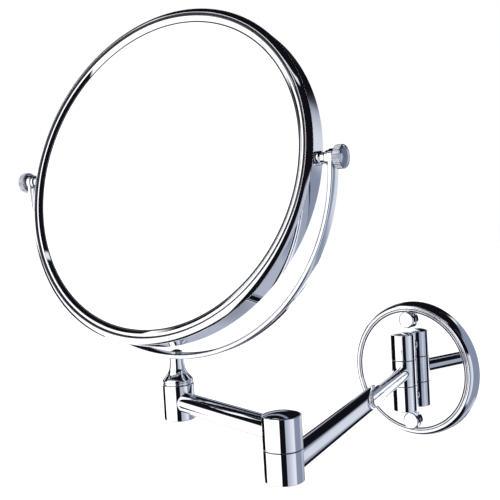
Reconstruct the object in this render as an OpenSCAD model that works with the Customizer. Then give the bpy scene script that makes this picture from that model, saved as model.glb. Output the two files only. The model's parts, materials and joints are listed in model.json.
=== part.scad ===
// Wall-mounted extending shaving mirror, two-sided, on a two-part folding arm.
// Frame: origin at the centre of the wall flange's back, wall plane at y = 0,
// the mirror stands out towards -Y, +Z is up. Millimetres.

/* [Wall flange] */
// Outer radius of the flange
flange_r = 51; // [49:0.5:56]
// Radius of the flat polished face
flange_face_r = 44.6; // [44:0.1:47]
// How far the flat face stands off the wall
flange_h = 11; // [10:0.5:14]
// Height of each fixing screw above or below the flange's centre
screw_z = 38.6; // [36:0.2:39]
// Radius of the round caps over the fixing screws
cap_r = 6.4; // [6:0.1:7]
// How far the caps stand off the face
cap_h = 4.5; // [4.2:0.1:6]

/* [Wall knuckle] */
// Distance of the knuckle's axis from the wall
knuckle_y = 21; // [20.9:0.1:24]
// Radius of the knuckle
knuckle_r = 9; // [8.8:0.1:9.4]
// Half of the knuckle's whole height
knuckle_half = 28.75; // [28:0.25:32]
// Half height of the middle part, which turns with the arm
tee_half = 10; // [9:0.5:11]

/* [Telescopic arm] */
// Heading of the inner arm, measured from straight out of the wall
arm1_angle = 15.9; // [0:0.1:60]
// Distance from the wall knuckle's axis to the elbow's axis
arm1_len = 232.8; // [210:0.1:250]
// Radius of the sliding inner rod
rod_r = 5.7; // [5.5:0.05:5.8]
// Radius of the outer tube
tube_r = 6.6; // [6.5:0.05:6.8]
// Length of rod that shows between the knuckle's axis and the tube's mouth
rod_show = 72.7; // [60:0.1:80]

/* [Elbow] */
// Radius of the elbow
elbow_r = 10.2; // [10:0.1:11]
// Height of each half of the elbow
elbow_half_h = 16.75; // [16:0.25:20]
// Depth of the elbow's bottom below the telescopic arm's axis
elbow_drop = 7; // [6.9:0.1:8.5]

/* [Forearm] */
// Heading of the forearm, measured from straight out of the wall
arm2_angle = -102.6; // [-140:0.1:-30]
// Distance from the elbow's axis to the holder's axis
arm2_len = 98.7; // [80:0.1:120]
// Radius of the forearm tube
forearm_r = 5.9; // [5.5:0.1:6.2]
// Radius of the upright stem holder
holder_r = 9.25; // [9:0.05:9.8]
// Height of the stem holder
holder_h = 21; // [19:0.5:24]

/* [Yoke and stem] */
// Turn of the yoke about the stem, from facing straight out of the wall
yoke_angle = 9.2; // [-45:0.1:45]
// Height of the tilt axis above the telescopic arm's axis
head_z = 154.8; // [152:0.1:160]
// Outer radius of the yoke
yoke_r = 110.9; // [110.5:0.1:114]
// Thickness of the yoke's strap
yoke_t = 3; // [2.6:0.1:3.2]
// Width of the yoke's strap
yoke_w = 8; // [7.6:0.2:9]
// Radius of the stem's slim neck
neck_r = 4.1; // [3.9:0.1:4.5]

/* [Mirror head] */
// Backward tilt of the mirror about its pivots
mirror_tilt = 15.9; // [0:0.1:30]
// Height of the pivots above the middle of the disc, which makes the head hang upright
pivot_rise = 2; // [0:0.1:3]
// Outer radius of the mirror's rim
rim_r = 100.8; // [100.4:0.1:101.2]
// Radius of the glass that shows inside the bezel
glass_show_r = 92.9; // [92.5:0.1:93.5]
// Half width of the rim's flat outer band
band_half = 6.5; // [6:0.1:7]
// Radius of the knurled tilt knobs
knob_r = 6.3; // [5.8:0.1:6.8]
// Length of the knurled part of a knob
knob_len = 4.6; // [4:0.1:6]

/* [Hidden] */

$fn = 96;
eps = 0.01;
run = 0.05;                          // running clearance of every shaft
slit = 0.05;                         // gap left beside every sliding washer
washer_t = 0.4;

flange_wall = 1.6;
flange_side = 3;                     // height of the straight side at the wall
face_step = 0.5;                     // the rim stands this far proud of the face
plate_t = 3;
screw_thread_r = 2;
screw_shank_r = 2.2;                 // plain part, inside the flange
screw_out = 25;                      // screw length that enters the wall
screw_point = 4;
screw_hole_r = 2.4;
seat_t = 1;

pin_r = 3;
post_r = 5;
post_screw_r = 2.5;
seam = washer_t + 2 * slit;          // height taken out at each seam of the knuckle
knuckle_screw_z = (knuckle_half + tee_half) / 2;
dome_h = 2;

tube_in_r = 6.1;
rod_in_r = 4.6;
rod_inside = 90;                     // rod hidden in the tube at rest
socket_at = 4.6;                     // a tube's socket stops this far from a hinge axis
elbow_recess_r = 7.5;                // room for the spring and nut in the elbow's upper half
forearm_at = elbow_recess_r + 0.2;   // the forearm tube starts outside that recess

elbow_z1 = elbow_half_h - elbow_drop;
elbow_z2 = elbow_z1 + elbow_half_h;
forearm_z = (elbow_z1 + elbow_z2) / 2;
elbow_cap_t = 2;

holder_z0 = forearm_z - holder_h / 2;
holder_z1 = forearm_z + holder_h / 2;
holder_socket = 2.6;                 // depth of the forearm tube in the holder
shaft_r = 4;
bush_t = 1;
ring_t = 1.6;
stem_thread = 13;
foot_z = holder_z1 + ring_t + 2 * slit;
yoke_in_r = yoke_r - yoke_t;

stud_r = 2.5;
hub_t = 0.8;                         // plain hub between a knob's knurl and the yoke
teeth = 36;
glass_t = 3;
glass_r = 94.6;
glass_front = 5.6;                   // the glass's outer face, from the rim's middle
bulge = 1.4;                         // how far the magnifying glass sinks at its middle

// ---- places ----------------------------------------------------------------

// Each of these carries its children to a joint's own frame at rest.
module at_knuckle() { translate([0, -knuckle_y, 0]) children(); }
module along_arm1() { at_knuckle() rotate([0, 0, arm1_angle]) children(); }
module at_elbow() { along_arm1() translate([0, -arm1_len, 0]) rotate([0, 0, -arm1_angle]) children(); }
module along_arm2() { at_elbow() translate([0, 0, forearm_z]) rotate([0, 0, arm2_angle]) children(); }
module at_holder() { at_elbow() rotate([0, 0, arm2_angle]) translate([0, -arm2_len, 0])
  rotate([0, 0, yoke_angle - arm2_angle]) children(); }
module at_tilt() { at_holder() translate([0, 0, head_z]) children(); }
module at_pivots() { at_tilt() rotate([90 - mirror_tilt, 0, 0]) children(); }
module in_head() { at_pivots() translate([0, -pivot_rise, 0]) children(); }

// A cylinder that points out of the wall, along -Y, from depth y0 to depth y1.
module out_rod(r, y0, y1) { translate([0, -y0, 0]) rotate([90, 0, 0]) cylinder(r = r, h = y1 - y0); }
module out_cone(ra, rb, y0, y1) {
  translate([0, -y0, 0]) rotate([90, 0, 0]) cylinder(r1 = ra, r2 = rb, h = y1 - y0); }
// An upright ring with a round bore.
module ring(r_out, r_in, z0, z1) {
  translate([0, 0, z0]) difference() {
    cylinder(r = r_out, h = z1 - z0);
    translate([0, 0, -1]) cylinder(r = r_in, h = z1 - z0 + 2);
  }
}
// A turned body: a round blank with its upper or lower edge broken.
module turned(r, z0, z1, chamfer_top, chamfer_bottom) {
  rotate_extrude() polygon([[0, z0], [r - chamfer_bottom, z0], [r, z0 + chamfer_bottom],
    [r, z1 - chamfer_top], [r - chamfer_top, z1], [0, z1]]);
}
// A shallow spherical dome of radius r and height h, standing on z.
module dome(r, z, h) {
  ball = (r * r + h * h) / (2 * h);
  rotate_extrude() intersection() {
    translate([0, z + h - ball]) circle(r = ball, $fn = 360);
    translate([0, z]) square([r, h + 1]);
  }
}
// Points of an arc about (x, y), from angle a to angle b.
function arc(x, y, r, a, b, n) = [for (i = [0 : n]) let (t = a + (b - a) * i / n)
  [x + r * cos(t), y + r * sin(t)]];

// ---- wall side ---------------------------------------------------------------

// The flange is a spun dish: straight side, rolled rim standing a little proud of the flat face.
module flange_outline(inset) {
  roll = (flange_r - flange_face_r) / 2;
  top = flange_h + face_step;
  polygon(concat([[0, 0], [flange_r - inset, 0]],
    [for (t = [0 : 6 : 90]) [flange_r - roll - inset + roll * cos(t),
      flange_side + (top - flange_side - inset) * sin(t)]],
    [for (t = [90 : 15 : 180]) [flange_face_r + roll - inset + roll * cos(t),
      flange_h - inset + face_step * sin(t)]],
    [[flange_face_r - inset - eps, flange_h - inset], [0, flange_h - inset]]));
}
module wall_flange() {
  color("gainsboro") difference() {
    rotate([90, 0, 0]) rotate_extrude() difference() {
      flange_outline(0);
      flange_outline(flange_wall);
      translate([-1, -1]) square([flange_r - flange_wall + 1, 1 + flange_side]);
    }
    for (z = [-1, 1]) {
      translate([0, 0, z * screw_z]) out_rod(screw_hole_r, -1, flange_h + 1);
      translate([0, 0, z * knuckle_screw_z]) out_rod(post_screw_r, -1, flange_h + 1);
    }
  }
}
plate_y = flange_h - flange_wall;    // the backing plate's front face
module backing_plate() {
  color("dimgray") difference() {
    out_rod(flange_face_r - 3, plate_y - plate_t, plate_y);
    for (z = [-1, 1]) {
      translate([0, 0, z * screw_z]) out_rod(screw_hole_r, -1, flange_h + 1);
      translate([0, 0, z * knuckle_screw_z]) out_rod(post_screw_r, -1, flange_h + 1);
    }
  }
}
// Saddle-cut washers that seat the two fixed knuckles on the face.
module knuckle_spacers() {
  color("gainsboro") for (z = [-1, 1]) difference() {
    translate([0, 0, z * knuckle_screw_z]) out_rod(post_r, flange_h, knuckle_y);
    translate([0, 0, z * knuckle_screw_z]) out_rod(post_screw_r, 0, knuckle_y);
    at_knuckle() cylinder(r = knuckle_r, h = 4 * knuckle_half, center = true);
  }
}
post_screw_tip = knuckle_y - pin_r - 1.2;
module knuckle_screws() {
  color("silver") for (z = [-1, 1]) translate([0, 0, z * knuckle_screw_z]) difference() {
    union() {
      out_rod(post_screw_r, plate_y - plate_t, post_screw_tip);
      out_rod(4.4, plate_y - plate_t - 2.8, plate_y - plate_t);
    }
    translate([0, -(plate_y - plate_t - 2.8) + eps, 0]) rotate([90, 30, 0])
      cylinder(r = 2.3, h = 1.8, $fn = 6);
  }
}
module cap_seats() {
  color("silver") for (z = [-1, 1]) translate([0, 0, z * screw_z]) difference() {
    out_rod(cap_r - 1, flange_h, flange_h + seat_t);
    out_rod(screw_hole_r, 0, flange_h + 2);
  }
}
// Pan-head wood screws: the plain part passes the flange, the thread enters the wall.
module wall_screws() {
  head = flange_h + seat_t;
  color("lightgray") for (z = [-1, 1]) translate([0, 0, z * screw_z]) difference() {
    union() {
      out_rod(screw_shank_r, 0, head);
      out_rod(screw_thread_r, screw_point - screw_out, 0);
      out_cone(0.3, screw_thread_r, -screw_out, screw_point - screw_out);
      out_cone(4, 3, head, head + 2.2);
    }
    for (a = [0, 90]) translate([0, -(head + 2.2), 0]) rotate([0, a, 0]) cube([3.6, 2.4, 0.8], center = true);
  }
}
module screw_caps() {
  color("white") for (z = [-1, 1]) translate([0, 0, z * screw_z]) rotate([90, 0, 0]) difference() {
    rotate_extrude() polygon([[0, flange_h], [cap_r - 0.5, flange_h], [cap_r - 0.5, flange_h + 0.4],
      [cap_r, flange_h + 0.8], [cap_r, flange_h + cap_h - 0.6], [cap_r - 0.6, flange_h + cap_h],
      [0, flange_h + cap_h]]);
    translate([0, 0, flange_h - 1]) cylinder(r = cap_r - 1, h = cap_h - 0.8 + 1);
  }
}

// ---- wall knuckle --------------------------------------------------------------

pin_bottom = -knuckle_half + 4;
pin_top = knuckle_half - 4;
module knuckle_screw_bores() {
  for (z = [-1, 1]) translate([0, 0, z * knuckle_screw_z]) rotate([-90, 0, 0])
    translate([0, 0, knuckle_y - post_screw_tip]) cylinder(r = post_screw_r, h = knuckle_r);
}
module upper_knuckle() {
  color("gainsboro") at_knuckle() difference() {
    union() {
      turned(knuckle_r, tee_half, knuckle_half, 0.3, 0.15);
      dome(knuckle_r - 0.3, knuckle_half, dome_h);
    }
    cylinder(r = pin_r, h = pin_top);
    knuckle_screw_bores();
  }
}
module lower_knuckle() {
  color("gainsboro") at_knuckle() difference() {
    turned(knuckle_r, -knuckle_half, -tee_half, 0.15, 0.5);
    translate([0, 0, -knuckle_half - 1]) cylinder(r = pin_r, h = 2 * knuckle_half);
    translate([0, 0, -knuckle_half - 1]) cylinder(r = 5, h = pin_bottom + knuckle_half + 1);
    knuckle_screw_bores();
  }
}
module knuckle_pin() {
  color("silver") at_knuckle() translate([0, 0, pin_bottom]) cylinder(r = pin_r, h = pin_top - pin_bottom);
}
// Screwed plug that keeps the pin in from below.
module knuckle_plug() {
  color("silver") at_knuckle() difference() {
    translate([0, 0, -knuckle_half + 0.3]) cylinder(r = 5, h = pin_bottom + knuckle_half - 0.3);
    translate([0, 0, -knuckle_half]) rotate([0, 0, 30]) cube([1.2, 12, 3.2], center = true);
  }
}
module knuckle_washers() {
  color("black") at_knuckle() for (z = [-1, 1])
    translate([0, 0, z * (tee_half - seam / 2)])
      ring(knuckle_r - 0.5, pin_r + run, -washer_t / 2, washer_t / 2);
}

// ---- telescopic arm -----------------------------------------------------------

tee_z = tee_half - seam;
module arm_tee() {
  color("gainsboro") at_knuckle() difference() {
    turned(knuckle_r, -tee_z, tee_z, 0.15, 0.15);
    cylinder(r = pin_r + run, h = 3 * tee_half, center = true);
    rotate([0, 0, arm1_angle]) out_rod(rod_r, socket_at, knuckle_r + 1);
  }
}
rod_end = rod_show + rod_inside;
bush_l = 6;
module slide_rod() {
  color("gainsboro") along_arm1() difference() {
    out_rod(rod_r, socket_at, rod_end);
    out_rod(rod_in_r, socket_at + 6, rod_end + 1);
  }
}
// Plastic plug in the rod's inner end; its head rides in the tube and stops the rod pulling out.
module rod_end_bush() {
  color("ivory") along_arm1() {
    out_rod(rod_in_r, rod_end - 8, rod_end + eps);
    out_rod(tube_in_r - run, rod_end, rod_end + bush_l);
  }
}
module outer_tube() {
  color("gainsboro") along_arm1() difference() {
    out_rod(tube_r, rod_show, arm1_len - socket_at);
    out_rod(tube_in_r, rod_show - 1, arm1_len);
  }
}
module mouth_bush() {
  color("dimgray") along_arm1() difference() {
    out_rod(tube_in_r, rod_show + 0.4, rod_show + 8);
    out_rod(rod_r + run, rod_show - 1, rod_show + 9);
  }
}

// ---- elbow --------------------------------------------------------------------

lower_top = elbow_z1 - seam;
pin_seat = 3;                        // floor left under the elbow pin
nut_z = elbow_z2 - 6.2;              // floor of the recess in the upper half
module elbow_lower() {
  color("gainsboro") at_elbow() difference() {
    turned(elbow_r, -elbow_drop, lower_top, 0.15, 0.3);
    translate([0, 0, -elbow_drop + pin_seat]) cylinder(r = pin_r, h = 2 * elbow_half_h);
    rotate([0, 0, arm1_angle]) translate([0, 2 * elbow_r, 0]) out_rod(tube_r, 0, 2 * elbow_r - socket_at);
  }
}
module elbow_pin() {
  color("silver") at_elbow() translate([0, 0, -elbow_drop + pin_seat])
    cylinder(r = pin_r, h = nut_z + 3.4 + elbow_drop - pin_seat);
}
module elbow_washer() {
  color("black") at_elbow() ring(elbow_r - 0.5, pin_r, elbow_z1 - seam + slit, elbow_z1 - slit);
}
// Disc spring that loads the friction washer, held down by a nut on the pin.
module elbow_spring() {
  color("silver") at_elbow() ring(5.6, pin_r, nut_z + slit, nut_z + slit + 0.6);
}
module elbow_nut() {
  color("silver") at_elbow() translate([0, 0, nut_z + slit + 0.6]) difference() {
    cylinder(r = 5.4, h = 2.4, $fn = 6);
    translate([0, 0, -1]) cylinder(r = pin_r, h = 5);
  }
}
module elbow_upper() {
  color("gainsboro") at_elbow() difference() {
    turned(elbow_r, elbow_z1, elbow_z2, 0.15, 0.15);
    cylinder(r = pin_r + run, h = elbow_z2 + 1);
    translate([0, 0, nut_z]) cylinder(r = elbow_recess_r, h = 10);
    translate([0, 0, forearm_z]) rotate([0, 0, arm2_angle]) out_rod(forearm_r, forearm_at, 2 * elbow_r);
  }
}
module elbow_cap() {
  color("gainsboro") at_elbow() union() {
    translate([0, 0, elbow_z2 - elbow_cap_t]) cylinder(r = elbow_recess_r, h = elbow_cap_t + eps);
    dome(elbow_r - 0.15, elbow_z2, dome_h);
  }
}

// ---- forearm and holder ------------------------------------------------------------

module forearm_tube() {
  color("gainsboro") along_arm2() difference() {
    out_rod(forearm_r, forearm_at, arm2_len - holder_r + holder_socket);
    out_rod(forearm_r - 1, forearm_at - 1, arm2_len);
  }
}
module stem_holder() {
  color("gainsboro") at_holder() difference() {
    turned(holder_r, holder_z0, holder_z1, 0.5, 0.5);
    translate([0, 0, holder_z0 + 4.2]) cylinder(r = shaft_r + bush_t, h = holder_h);
    translate([0, 0, holder_z0 - 1]) cylinder(r = 6, h = 4);
    translate([0, 0, holder_z0 - 1]) cylinder(r = 2.6, h = holder_h);
    translate([0, 0, forearm_z]) rotate([0, 0, arm2_angle - yoke_angle + 180])
      out_rod(forearm_r, holder_r - holder_socket, 3 * holder_r);
  }
}
bush_top = holder_z1 - 0.2;
module holder_bush() {
  color("dimgray") at_holder() ring(shaft_r + bush_t, shaft_r + run, holder_z0 + 4.2, bush_top);
}
// Bright bearing ring between the holder and the foot of the stem.
module swivel_ring() {
  color("white") at_holder() rotate_extrude() polygon([[shaft_r + run, holder_z1 + slit],
    [holder_r - 0.9, holder_z1 + slit], [holder_r - 0.5, holder_z1 + slit + 0.4],
    [holder_r - 0.5, holder_z1 + ring_t + slit - 0.4], [holder_r - 0.9, holder_z1 + ring_t + slit],
    [shaft_r + run, holder_z1 + ring_t + slit]]);
}

// ---- stem and yoke ----------------------------------------------------------------

yoke_low = head_z - yoke_r;          // lowest point of the yoke
foot_r = holder_r - 0.3;
flare_h = 5;                         // how quickly the foot's flare dies out into the neck
// The stem flares like a trumpet: full at the foot, then ever slimmer up to the neck.
function flare(z) = neck_r + (foot_r - neck_r) * (1 + cos(180 * (1 - exp(-z / flare_h)))) / 2;
module stem() {
  color("gainsboro") at_holder() difference() {
    rotate_extrude() polygon(concat([[0, holder_z0 + 4.4], [shaft_r, holder_z0 + 4.4], [shaft_r, foot_z],
      [foot_r - 0.3, foot_z], [foot_r, foot_z + 0.3]],
      [for (i = [0 : 20]) let (z = (yoke_low + 0.4 - foot_z - 0.4) * pow(i / 20, 1.5))
        [flare(z), foot_z + 0.4 + z]],
      [[0, yoke_low + 0.4]]));
    translate([0, 0, holder_z0]) cylinder(r = 2, h = stem_thread + 2.5);
    translate([0, 0, yoke_low - 8]) cylinder(r = 1.8, h = 20);
    at_yoke_axis() cylinder(r = yoke_r, h = 60, center = true);
  }
}
module at_yoke_axis() { translate([0, 0, head_z]) rotate([90, 0, 0]) children(); }
module stem_washer() {
  color("silver") at_holder() ring(5.6, 2, holder_z0 + 3 - slit - 0.8, holder_z0 + 3 - slit);
}
module stem_screw() {
  top = holder_z0 + 3 - slit - 0.8;
  color("silver") at_holder() difference() {
    union() {
      translate([0, 0, top]) cylinder(r = 2, h = stem_thread);
      translate([0, 0, top - 1.6]) cylinder(r1 = 3, r2 = 3.6, h = 1.6);
    }
    for (a = [0, 90]) translate([0, 0, top - 1.6]) rotate([0, 0, a]) cube([3.4, 0.8, 1.8], center = true);
  }
}
// Half hoop of flat strap with rounded ends, which carry the tilt pivots.
module yoke() {
  end_r = yoke_w / 2 + 0.6;
  color("gainsboro") at_tilt() difference() {
    union() {
      rotate([90, 0, 0]) intersection() {
        difference() {
          cylinder(r = yoke_r, h = yoke_w, center = true, $fn = 240);
          cylinder(r = yoke_in_r, h = yoke_w + 2, center = true, $fn = 240);
        }
        translate([-yoke_r - 1, -yoke_r - 1, -yoke_w]) cube([2 * yoke_r + 2, yoke_r + 1, 2 * yoke_w]);
      }
      for (side = [-1, 1]) translate([side * (yoke_r + yoke_in_r) / 2, 0, 0]) rotate([0, 90, 0])
        cylinder(r = end_r, h = yoke_t, center = true);
    }
    rotate([0, 90, 0]) cylinder(r = stud_r + run, h = 3 * yoke_r, center = true);
    translate([0, 0, -yoke_r - 5]) cylinder(r = 1.8, h = 12);
  }
}
module yoke_screw() {
  seat = head_z - yoke_in_r + 0.1;
  color("silver") at_holder() difference() {
    union() {
      translate([0, 0, seat - 9]) cylinder(r = 1.8, h = 9);
      translate([0, 0, seat]) cylinder(r = 3.4, h = 1.2);
      dome(3.4, seat + 1.2, 1);
    }
    for (a = [0, 90]) translate([0, 0, seat + 2.2]) rotate([0, 0, a]) cube([3.4, 0.8, 1.6], center = true);
  }
}

// ---- mirror head: here the disc's axis is Z, with +Z out of the shaving side ------------
// The disc's middle is the origin of in_head(); the tilt axis is the X axis of at_pivots().

band_in_r = rim_r - 1.8;
outer_bead = [rim_r - 2.1, 6.7];      // middle of the outer bead's round section
outer_bead_r = 2;
inner_bead_r = 1.7;
inner_bead = [glass_show_r + inner_bead_r, 6.2];
module rim_band() {
  color("gainsboro") in_head() difference() {
    ring(rim_r, band_in_r, -band_half, band_half);
    stud_bores();
  }
}
module stud_bores() {
  translate([0, pivot_rise, 0]) rotate([0, 90, 0]) cylinder(r = stud_r, h = 3 * rim_r, center = true);
}
// Stepped bezel: two rounded beads with a groove between, and a lip over the glass.
module bezel_outline() {
  lip = glass_front;
  polygon(concat([[band_in_r - 0.6, lip - 2.2], [band_in_r - 0.6, band_half], [rim_r, band_half]],
    arc(outer_bead.x, outer_bead.y, outer_bead_r, 0, 180, 12),
    [[outer_bead.x - outer_bead_r, 6.5], [inner_bead.x + inner_bead_r, 6.2]],
    arc(inner_bead.x, inner_bead.y, inner_bead_r, 0, 180, 12),
    [[glass_show_r, lip], [glass_r, lip], [glass_r, lip - 2.2]]));
}
module front_bezel() { color("gainsboro") in_head() rotate_extrude($fn = 240) bezel_outline(); }
module rear_bezel() { color("gainsboro") in_head() mirror([0, 0, 1]) rotate_extrude($fn = 240) bezel_outline(); }
module plain_glass() {
  color("white") in_head() translate([0, 0, glass_front - glass_t]) cylinder(r = glass_r, h = glass_t, $fn = 240);
}
// The magnifying glass is a shallow dish, so it looks bigger from the rear side.
module magnifying_glass() {
  color("white") in_head() mirror([0, 0, 1]) rotate_extrude($fn = 240)
    polygon(concat([[0, glass_front - glass_t], [glass_r, glass_front - glass_t], [glass_r, glass_front]],
      [for (i = [16 : -1 : 0]) [glass_show_r * i / 16, glass_front - bulge * (1 - i * i / 256)]]));
}
module glass_pad() {
  thick = 2 * (glass_front - glass_t);
  color("dimgray") in_head() translate([0, 0, -thick / 2]) cylinder(r = 91, h = thick);
}
// Threaded blocks inside the rim that hold the pivot studs.
module pivot_bosses() {
  color("silver") in_head() for (side = [-1, 1]) difference() {
    intersection() {
      translate([side * (glass_r + 0.2 + band_in_r) / 2, pivot_rise, 0])
        cube([band_in_r - glass_r - 0.2, 12, 6.6], center = true);
      cylinder(r = band_in_r, h = 20, center = true);
    }
    stud_bores();
  }
}
stud_end = yoke_r + hub_t + knob_len - 1;
module pivot_studs() {
  color("silver") at_pivots() for (side = [-1, 1]) rotate([0, side * 90, 0])
    translate([0, 0, 94]) cylinder(r = stud_r, h = stud_end - 94);
}
// Spool: two flanges and a waist, between the rim and the yoke.
module spool_spacers() {
  a = rim_r + 0.06;
  b = yoke_in_r - slit;
  color("gainsboro") at_pivots() for (side = [-1, 1]) rotate([0, side * 90, 0])
    rotate_extrude() polygon([[stud_r, a], [3.6, a], [3.9, a + 0.3], [3.9, a + 1.5], [3.1, a + 2.3],
      [3.1, b - 2.3], [3.9, b - 1.5], [3.9, b - 0.3], [3.6, b], [stud_r, b]]);
}
// Knurled thumb knob with a domed face and a plain hub against the yoke.
module knob(side) {
  a = yoke_r + slit;
  b = yoke_r + hub_t;
  at_pivots() rotate([0, side * 90, 0]) difference() {
    union() {
      translate([0, 0, a]) cylinder(r = 4.6, h = b - a + eps);
      translate([0, 0, b]) difference() {
        turned(knob_r, 0, knob_len, 0.3, 0.4);
        for (i = [0 : teeth - 1]) rotate([0, 0, i * 360 / teeth])
          translate([knob_r, 0, knob_len / 2]) rotate([0, 0, 45]) cube([0.5, 0.5, knob_len + 2], center = true);
      }
      dome(knob_r - 0.3, b + knob_len, 1.8);
    }
    translate([0, 0, 90]) cylinder(r = stud_r + run, h = stud_end + slit - 90);
  }
}
module left_knob() { color("gainsboro") knob(-1); }
module right_knob() { color("gainsboro") knob(1); }

wall_flange();
backing_plate();
knuckle_spacers();
knuckle_screws();
wall_screws();
cap_seats();
screw_caps();
upper_knuckle();
lower_knuckle();
knuckle_pin();
knuckle_plug();
knuckle_washers();
arm_tee();
slide_rod();
rod_end_bush();
outer_tube();
mouth_bush();
elbow_lower();
elbow_pin();
elbow_washer();
elbow_spring();
elbow_nut();
elbow_upper();
elbow_cap();
forearm_tube();
stem_holder();
holder_bush();
swivel_ring();
stem();
stem_washer();
stem_screw();
yoke();
yoke_screw();
rim_band();
front_bezel();
rear_bezel();
plain_glass();
magnifying_glass();
glass_pad();
pivot_bosses();
pivot_studs();
spool_spacers();
left_knob();
right_knob();
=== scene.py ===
# %% [markdown]
# # A shaving mirror on a folding, telescopic arm
# Everything here is polished chrome or mirror glass, so the picture is made of reflections.
# That asks for two things: meshes whose curvature is exact, and a studio that is worth reflecting.
# The mechanical model gives every place and size, and this script builds the finished skin round it.

# %% Load the mechanical model
import json
import math

import bmesh
import bpy
from mathutils import Matrix, Vector

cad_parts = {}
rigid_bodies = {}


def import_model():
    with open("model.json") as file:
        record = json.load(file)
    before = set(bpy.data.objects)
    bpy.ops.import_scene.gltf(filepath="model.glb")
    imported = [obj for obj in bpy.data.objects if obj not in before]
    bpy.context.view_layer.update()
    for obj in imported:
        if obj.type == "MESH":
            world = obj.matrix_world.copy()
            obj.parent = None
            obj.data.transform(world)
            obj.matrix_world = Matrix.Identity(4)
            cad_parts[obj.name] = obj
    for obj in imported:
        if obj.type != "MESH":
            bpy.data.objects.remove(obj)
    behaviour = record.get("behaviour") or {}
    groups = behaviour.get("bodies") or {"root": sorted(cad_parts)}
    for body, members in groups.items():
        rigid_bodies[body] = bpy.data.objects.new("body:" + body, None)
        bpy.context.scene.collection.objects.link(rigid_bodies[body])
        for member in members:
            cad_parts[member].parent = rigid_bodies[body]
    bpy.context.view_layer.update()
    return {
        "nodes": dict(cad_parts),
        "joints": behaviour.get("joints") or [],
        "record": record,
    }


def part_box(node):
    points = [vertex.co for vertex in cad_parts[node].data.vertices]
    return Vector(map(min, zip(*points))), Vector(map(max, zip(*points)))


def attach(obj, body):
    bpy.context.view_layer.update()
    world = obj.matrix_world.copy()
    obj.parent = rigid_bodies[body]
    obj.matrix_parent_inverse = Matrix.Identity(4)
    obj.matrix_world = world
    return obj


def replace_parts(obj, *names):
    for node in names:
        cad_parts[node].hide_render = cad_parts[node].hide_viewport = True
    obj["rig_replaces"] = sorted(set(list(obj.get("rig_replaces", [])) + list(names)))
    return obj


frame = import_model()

MM = 0.001
joints = {joint["name"]: joint for joint in frame["joints"]}

# %% [markdown]
# ## Local frames
# Nearly every piece is turned on a lathe, so each needs only an axis and a point on it.
# A place is a matrix whose Z is the lathe's axis. The joints of the mechanical model hold the points
# and the directions, so nothing has to be typed twice and nothing can drift.

# %% Places
UP = Vector((0, 0, 1))
OUT_OF_WALL = Vector((0, -1, 0))


def place(origin, axis, across=UP):
    """A frame whose Z is axis and whose Y leans towards across."""
    z = Vector(axis).normalized()
    y = Vector(across) - z * Vector(across).dot(z)
    y = y.normalized() if y.length > 1e-6 else z.orthogonal().normalized()
    turn = Matrix((y.cross(z), y, z)).transposed().to_4x4()
    return Matrix.Translation(origin) @ turn


def on_axis(point, height=0.0):
    """The point at a height, on the upright line through a given point."""
    return Vector((point[0], point[1], height))


knuckle_point = Vector(joints["wall_swing"]["pos_m"])
elbow_point = Vector(joints["elbow_swing"]["pos_m"])
holder_point = on_axis(joints["stem_swivel"]["pos_m"])
tilt_point = Vector(joints["mirror_tilt"]["pos_m"])
slide_way = Vector(joints["arm_slide"]["axis"])
pivot_way = Vector(joints["mirror_tilt"]["axis"])
forearm_way = (holder_point - elbow_point).normalized()
forearm_height = sum(corner.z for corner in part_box("forearm_tube")) / 2

WALL = place((0, 0, 0), OUT_OF_WALL)
KNUCKLE = place(knuckle_point, UP, OUT_OF_WALL)
ARM = place(knuckle_point, slide_way)
ELBOW = place(elbow_point, UP, OUT_OF_WALL)
FOREARM = place(on_axis(elbow_point, forearm_height), forearm_way)
HOLDER = place(holder_point, UP, OUT_OF_WALL)
HOOP = place(tilt_point, UP.cross(pivot_way) * -1)
print("arm", round((elbow_point - knuckle_point).length, 4), "m, forearm",
      round((holder_point - elbow_point).length, 4), "m")

# %% [markdown]
# The mirror's own frame follows the glass. Its axis is found from the mesh of the plain glass:
# the two flat faces of a disc are by far its largest, so the area-weighted direction of the faces
# that look out of the wall is the disc's axis.

# %% The disc's frame


def facing(node, way):
    """Area-weighted direction of a node's flat faces that look along way."""
    total = Vector((0, 0, 0))
    for face in frame["nodes"][node].data.polygons:
        if face.normal.dot(way) > 0.7:
            total += face.normal * face.area
    return total.normalized()


disc_way = facing("plain_glass", OUT_OF_WALL)
disc_up = disc_way.cross(pivot_way).normalized() * -1
if disc_up.z < 0:
    disc_up.negate()


def middle(node):
    """The middle of a node's box."""
    low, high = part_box(node)
    return (low + high) / 2


disc_point = (middle("front_bezel") + middle("rear_bezel")) / 2
DISC = place(disc_point, disc_way, disc_up)
DISC_BACK = place(disc_point, -disc_way, disc_up)
PIVOTS = {"left": place(tilt_point, -pivot_way), "right": place(tilt_point, pivot_way)}
print("the disc leans back by", round(math.degrees(math.asin(disc_way.z)), 1), "degrees")

# %% [markdown]
# ## Measuring the mechanical model
# A turned piece is known by where it starts and ends on its axis and by its largest radius.
# `span` reads those from the node's vertices, in the place's own frame and in millimetres.

# %% Measuring


def span(node, where, side=0):
    """Start, end and radius of a node about a place's axis, in mm. side keeps what is above or below."""
    inverse = where.inverted()
    corners = [vertex.co for vertex in frame["nodes"][node].data.vertices
               if side == 0 or vertex.co.z * side > 0]
    local = [inverse @ corner / MM for corner in corners]
    return (min(p.z for p in local), max(p.z for p in local), max(math.hypot(p.x, p.y) for p in local))


for node_name, where in (("wall_flange", WALL), ("outer_tube", ARM), ("rim_band", DISC)):
    print(node_name, [round(value, 2) for value in span(node_name, where)])

# %% [markdown]
# ## The lathe
# A polished edge is never sharp: it carries a hair-thin highlight. So each corner of a profile gets a
# small arc, with one extra point on either side of it. Those support points keep the smooth shading
# of the big faces perfectly flat, which a mirror finish needs more than anything else.

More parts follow.
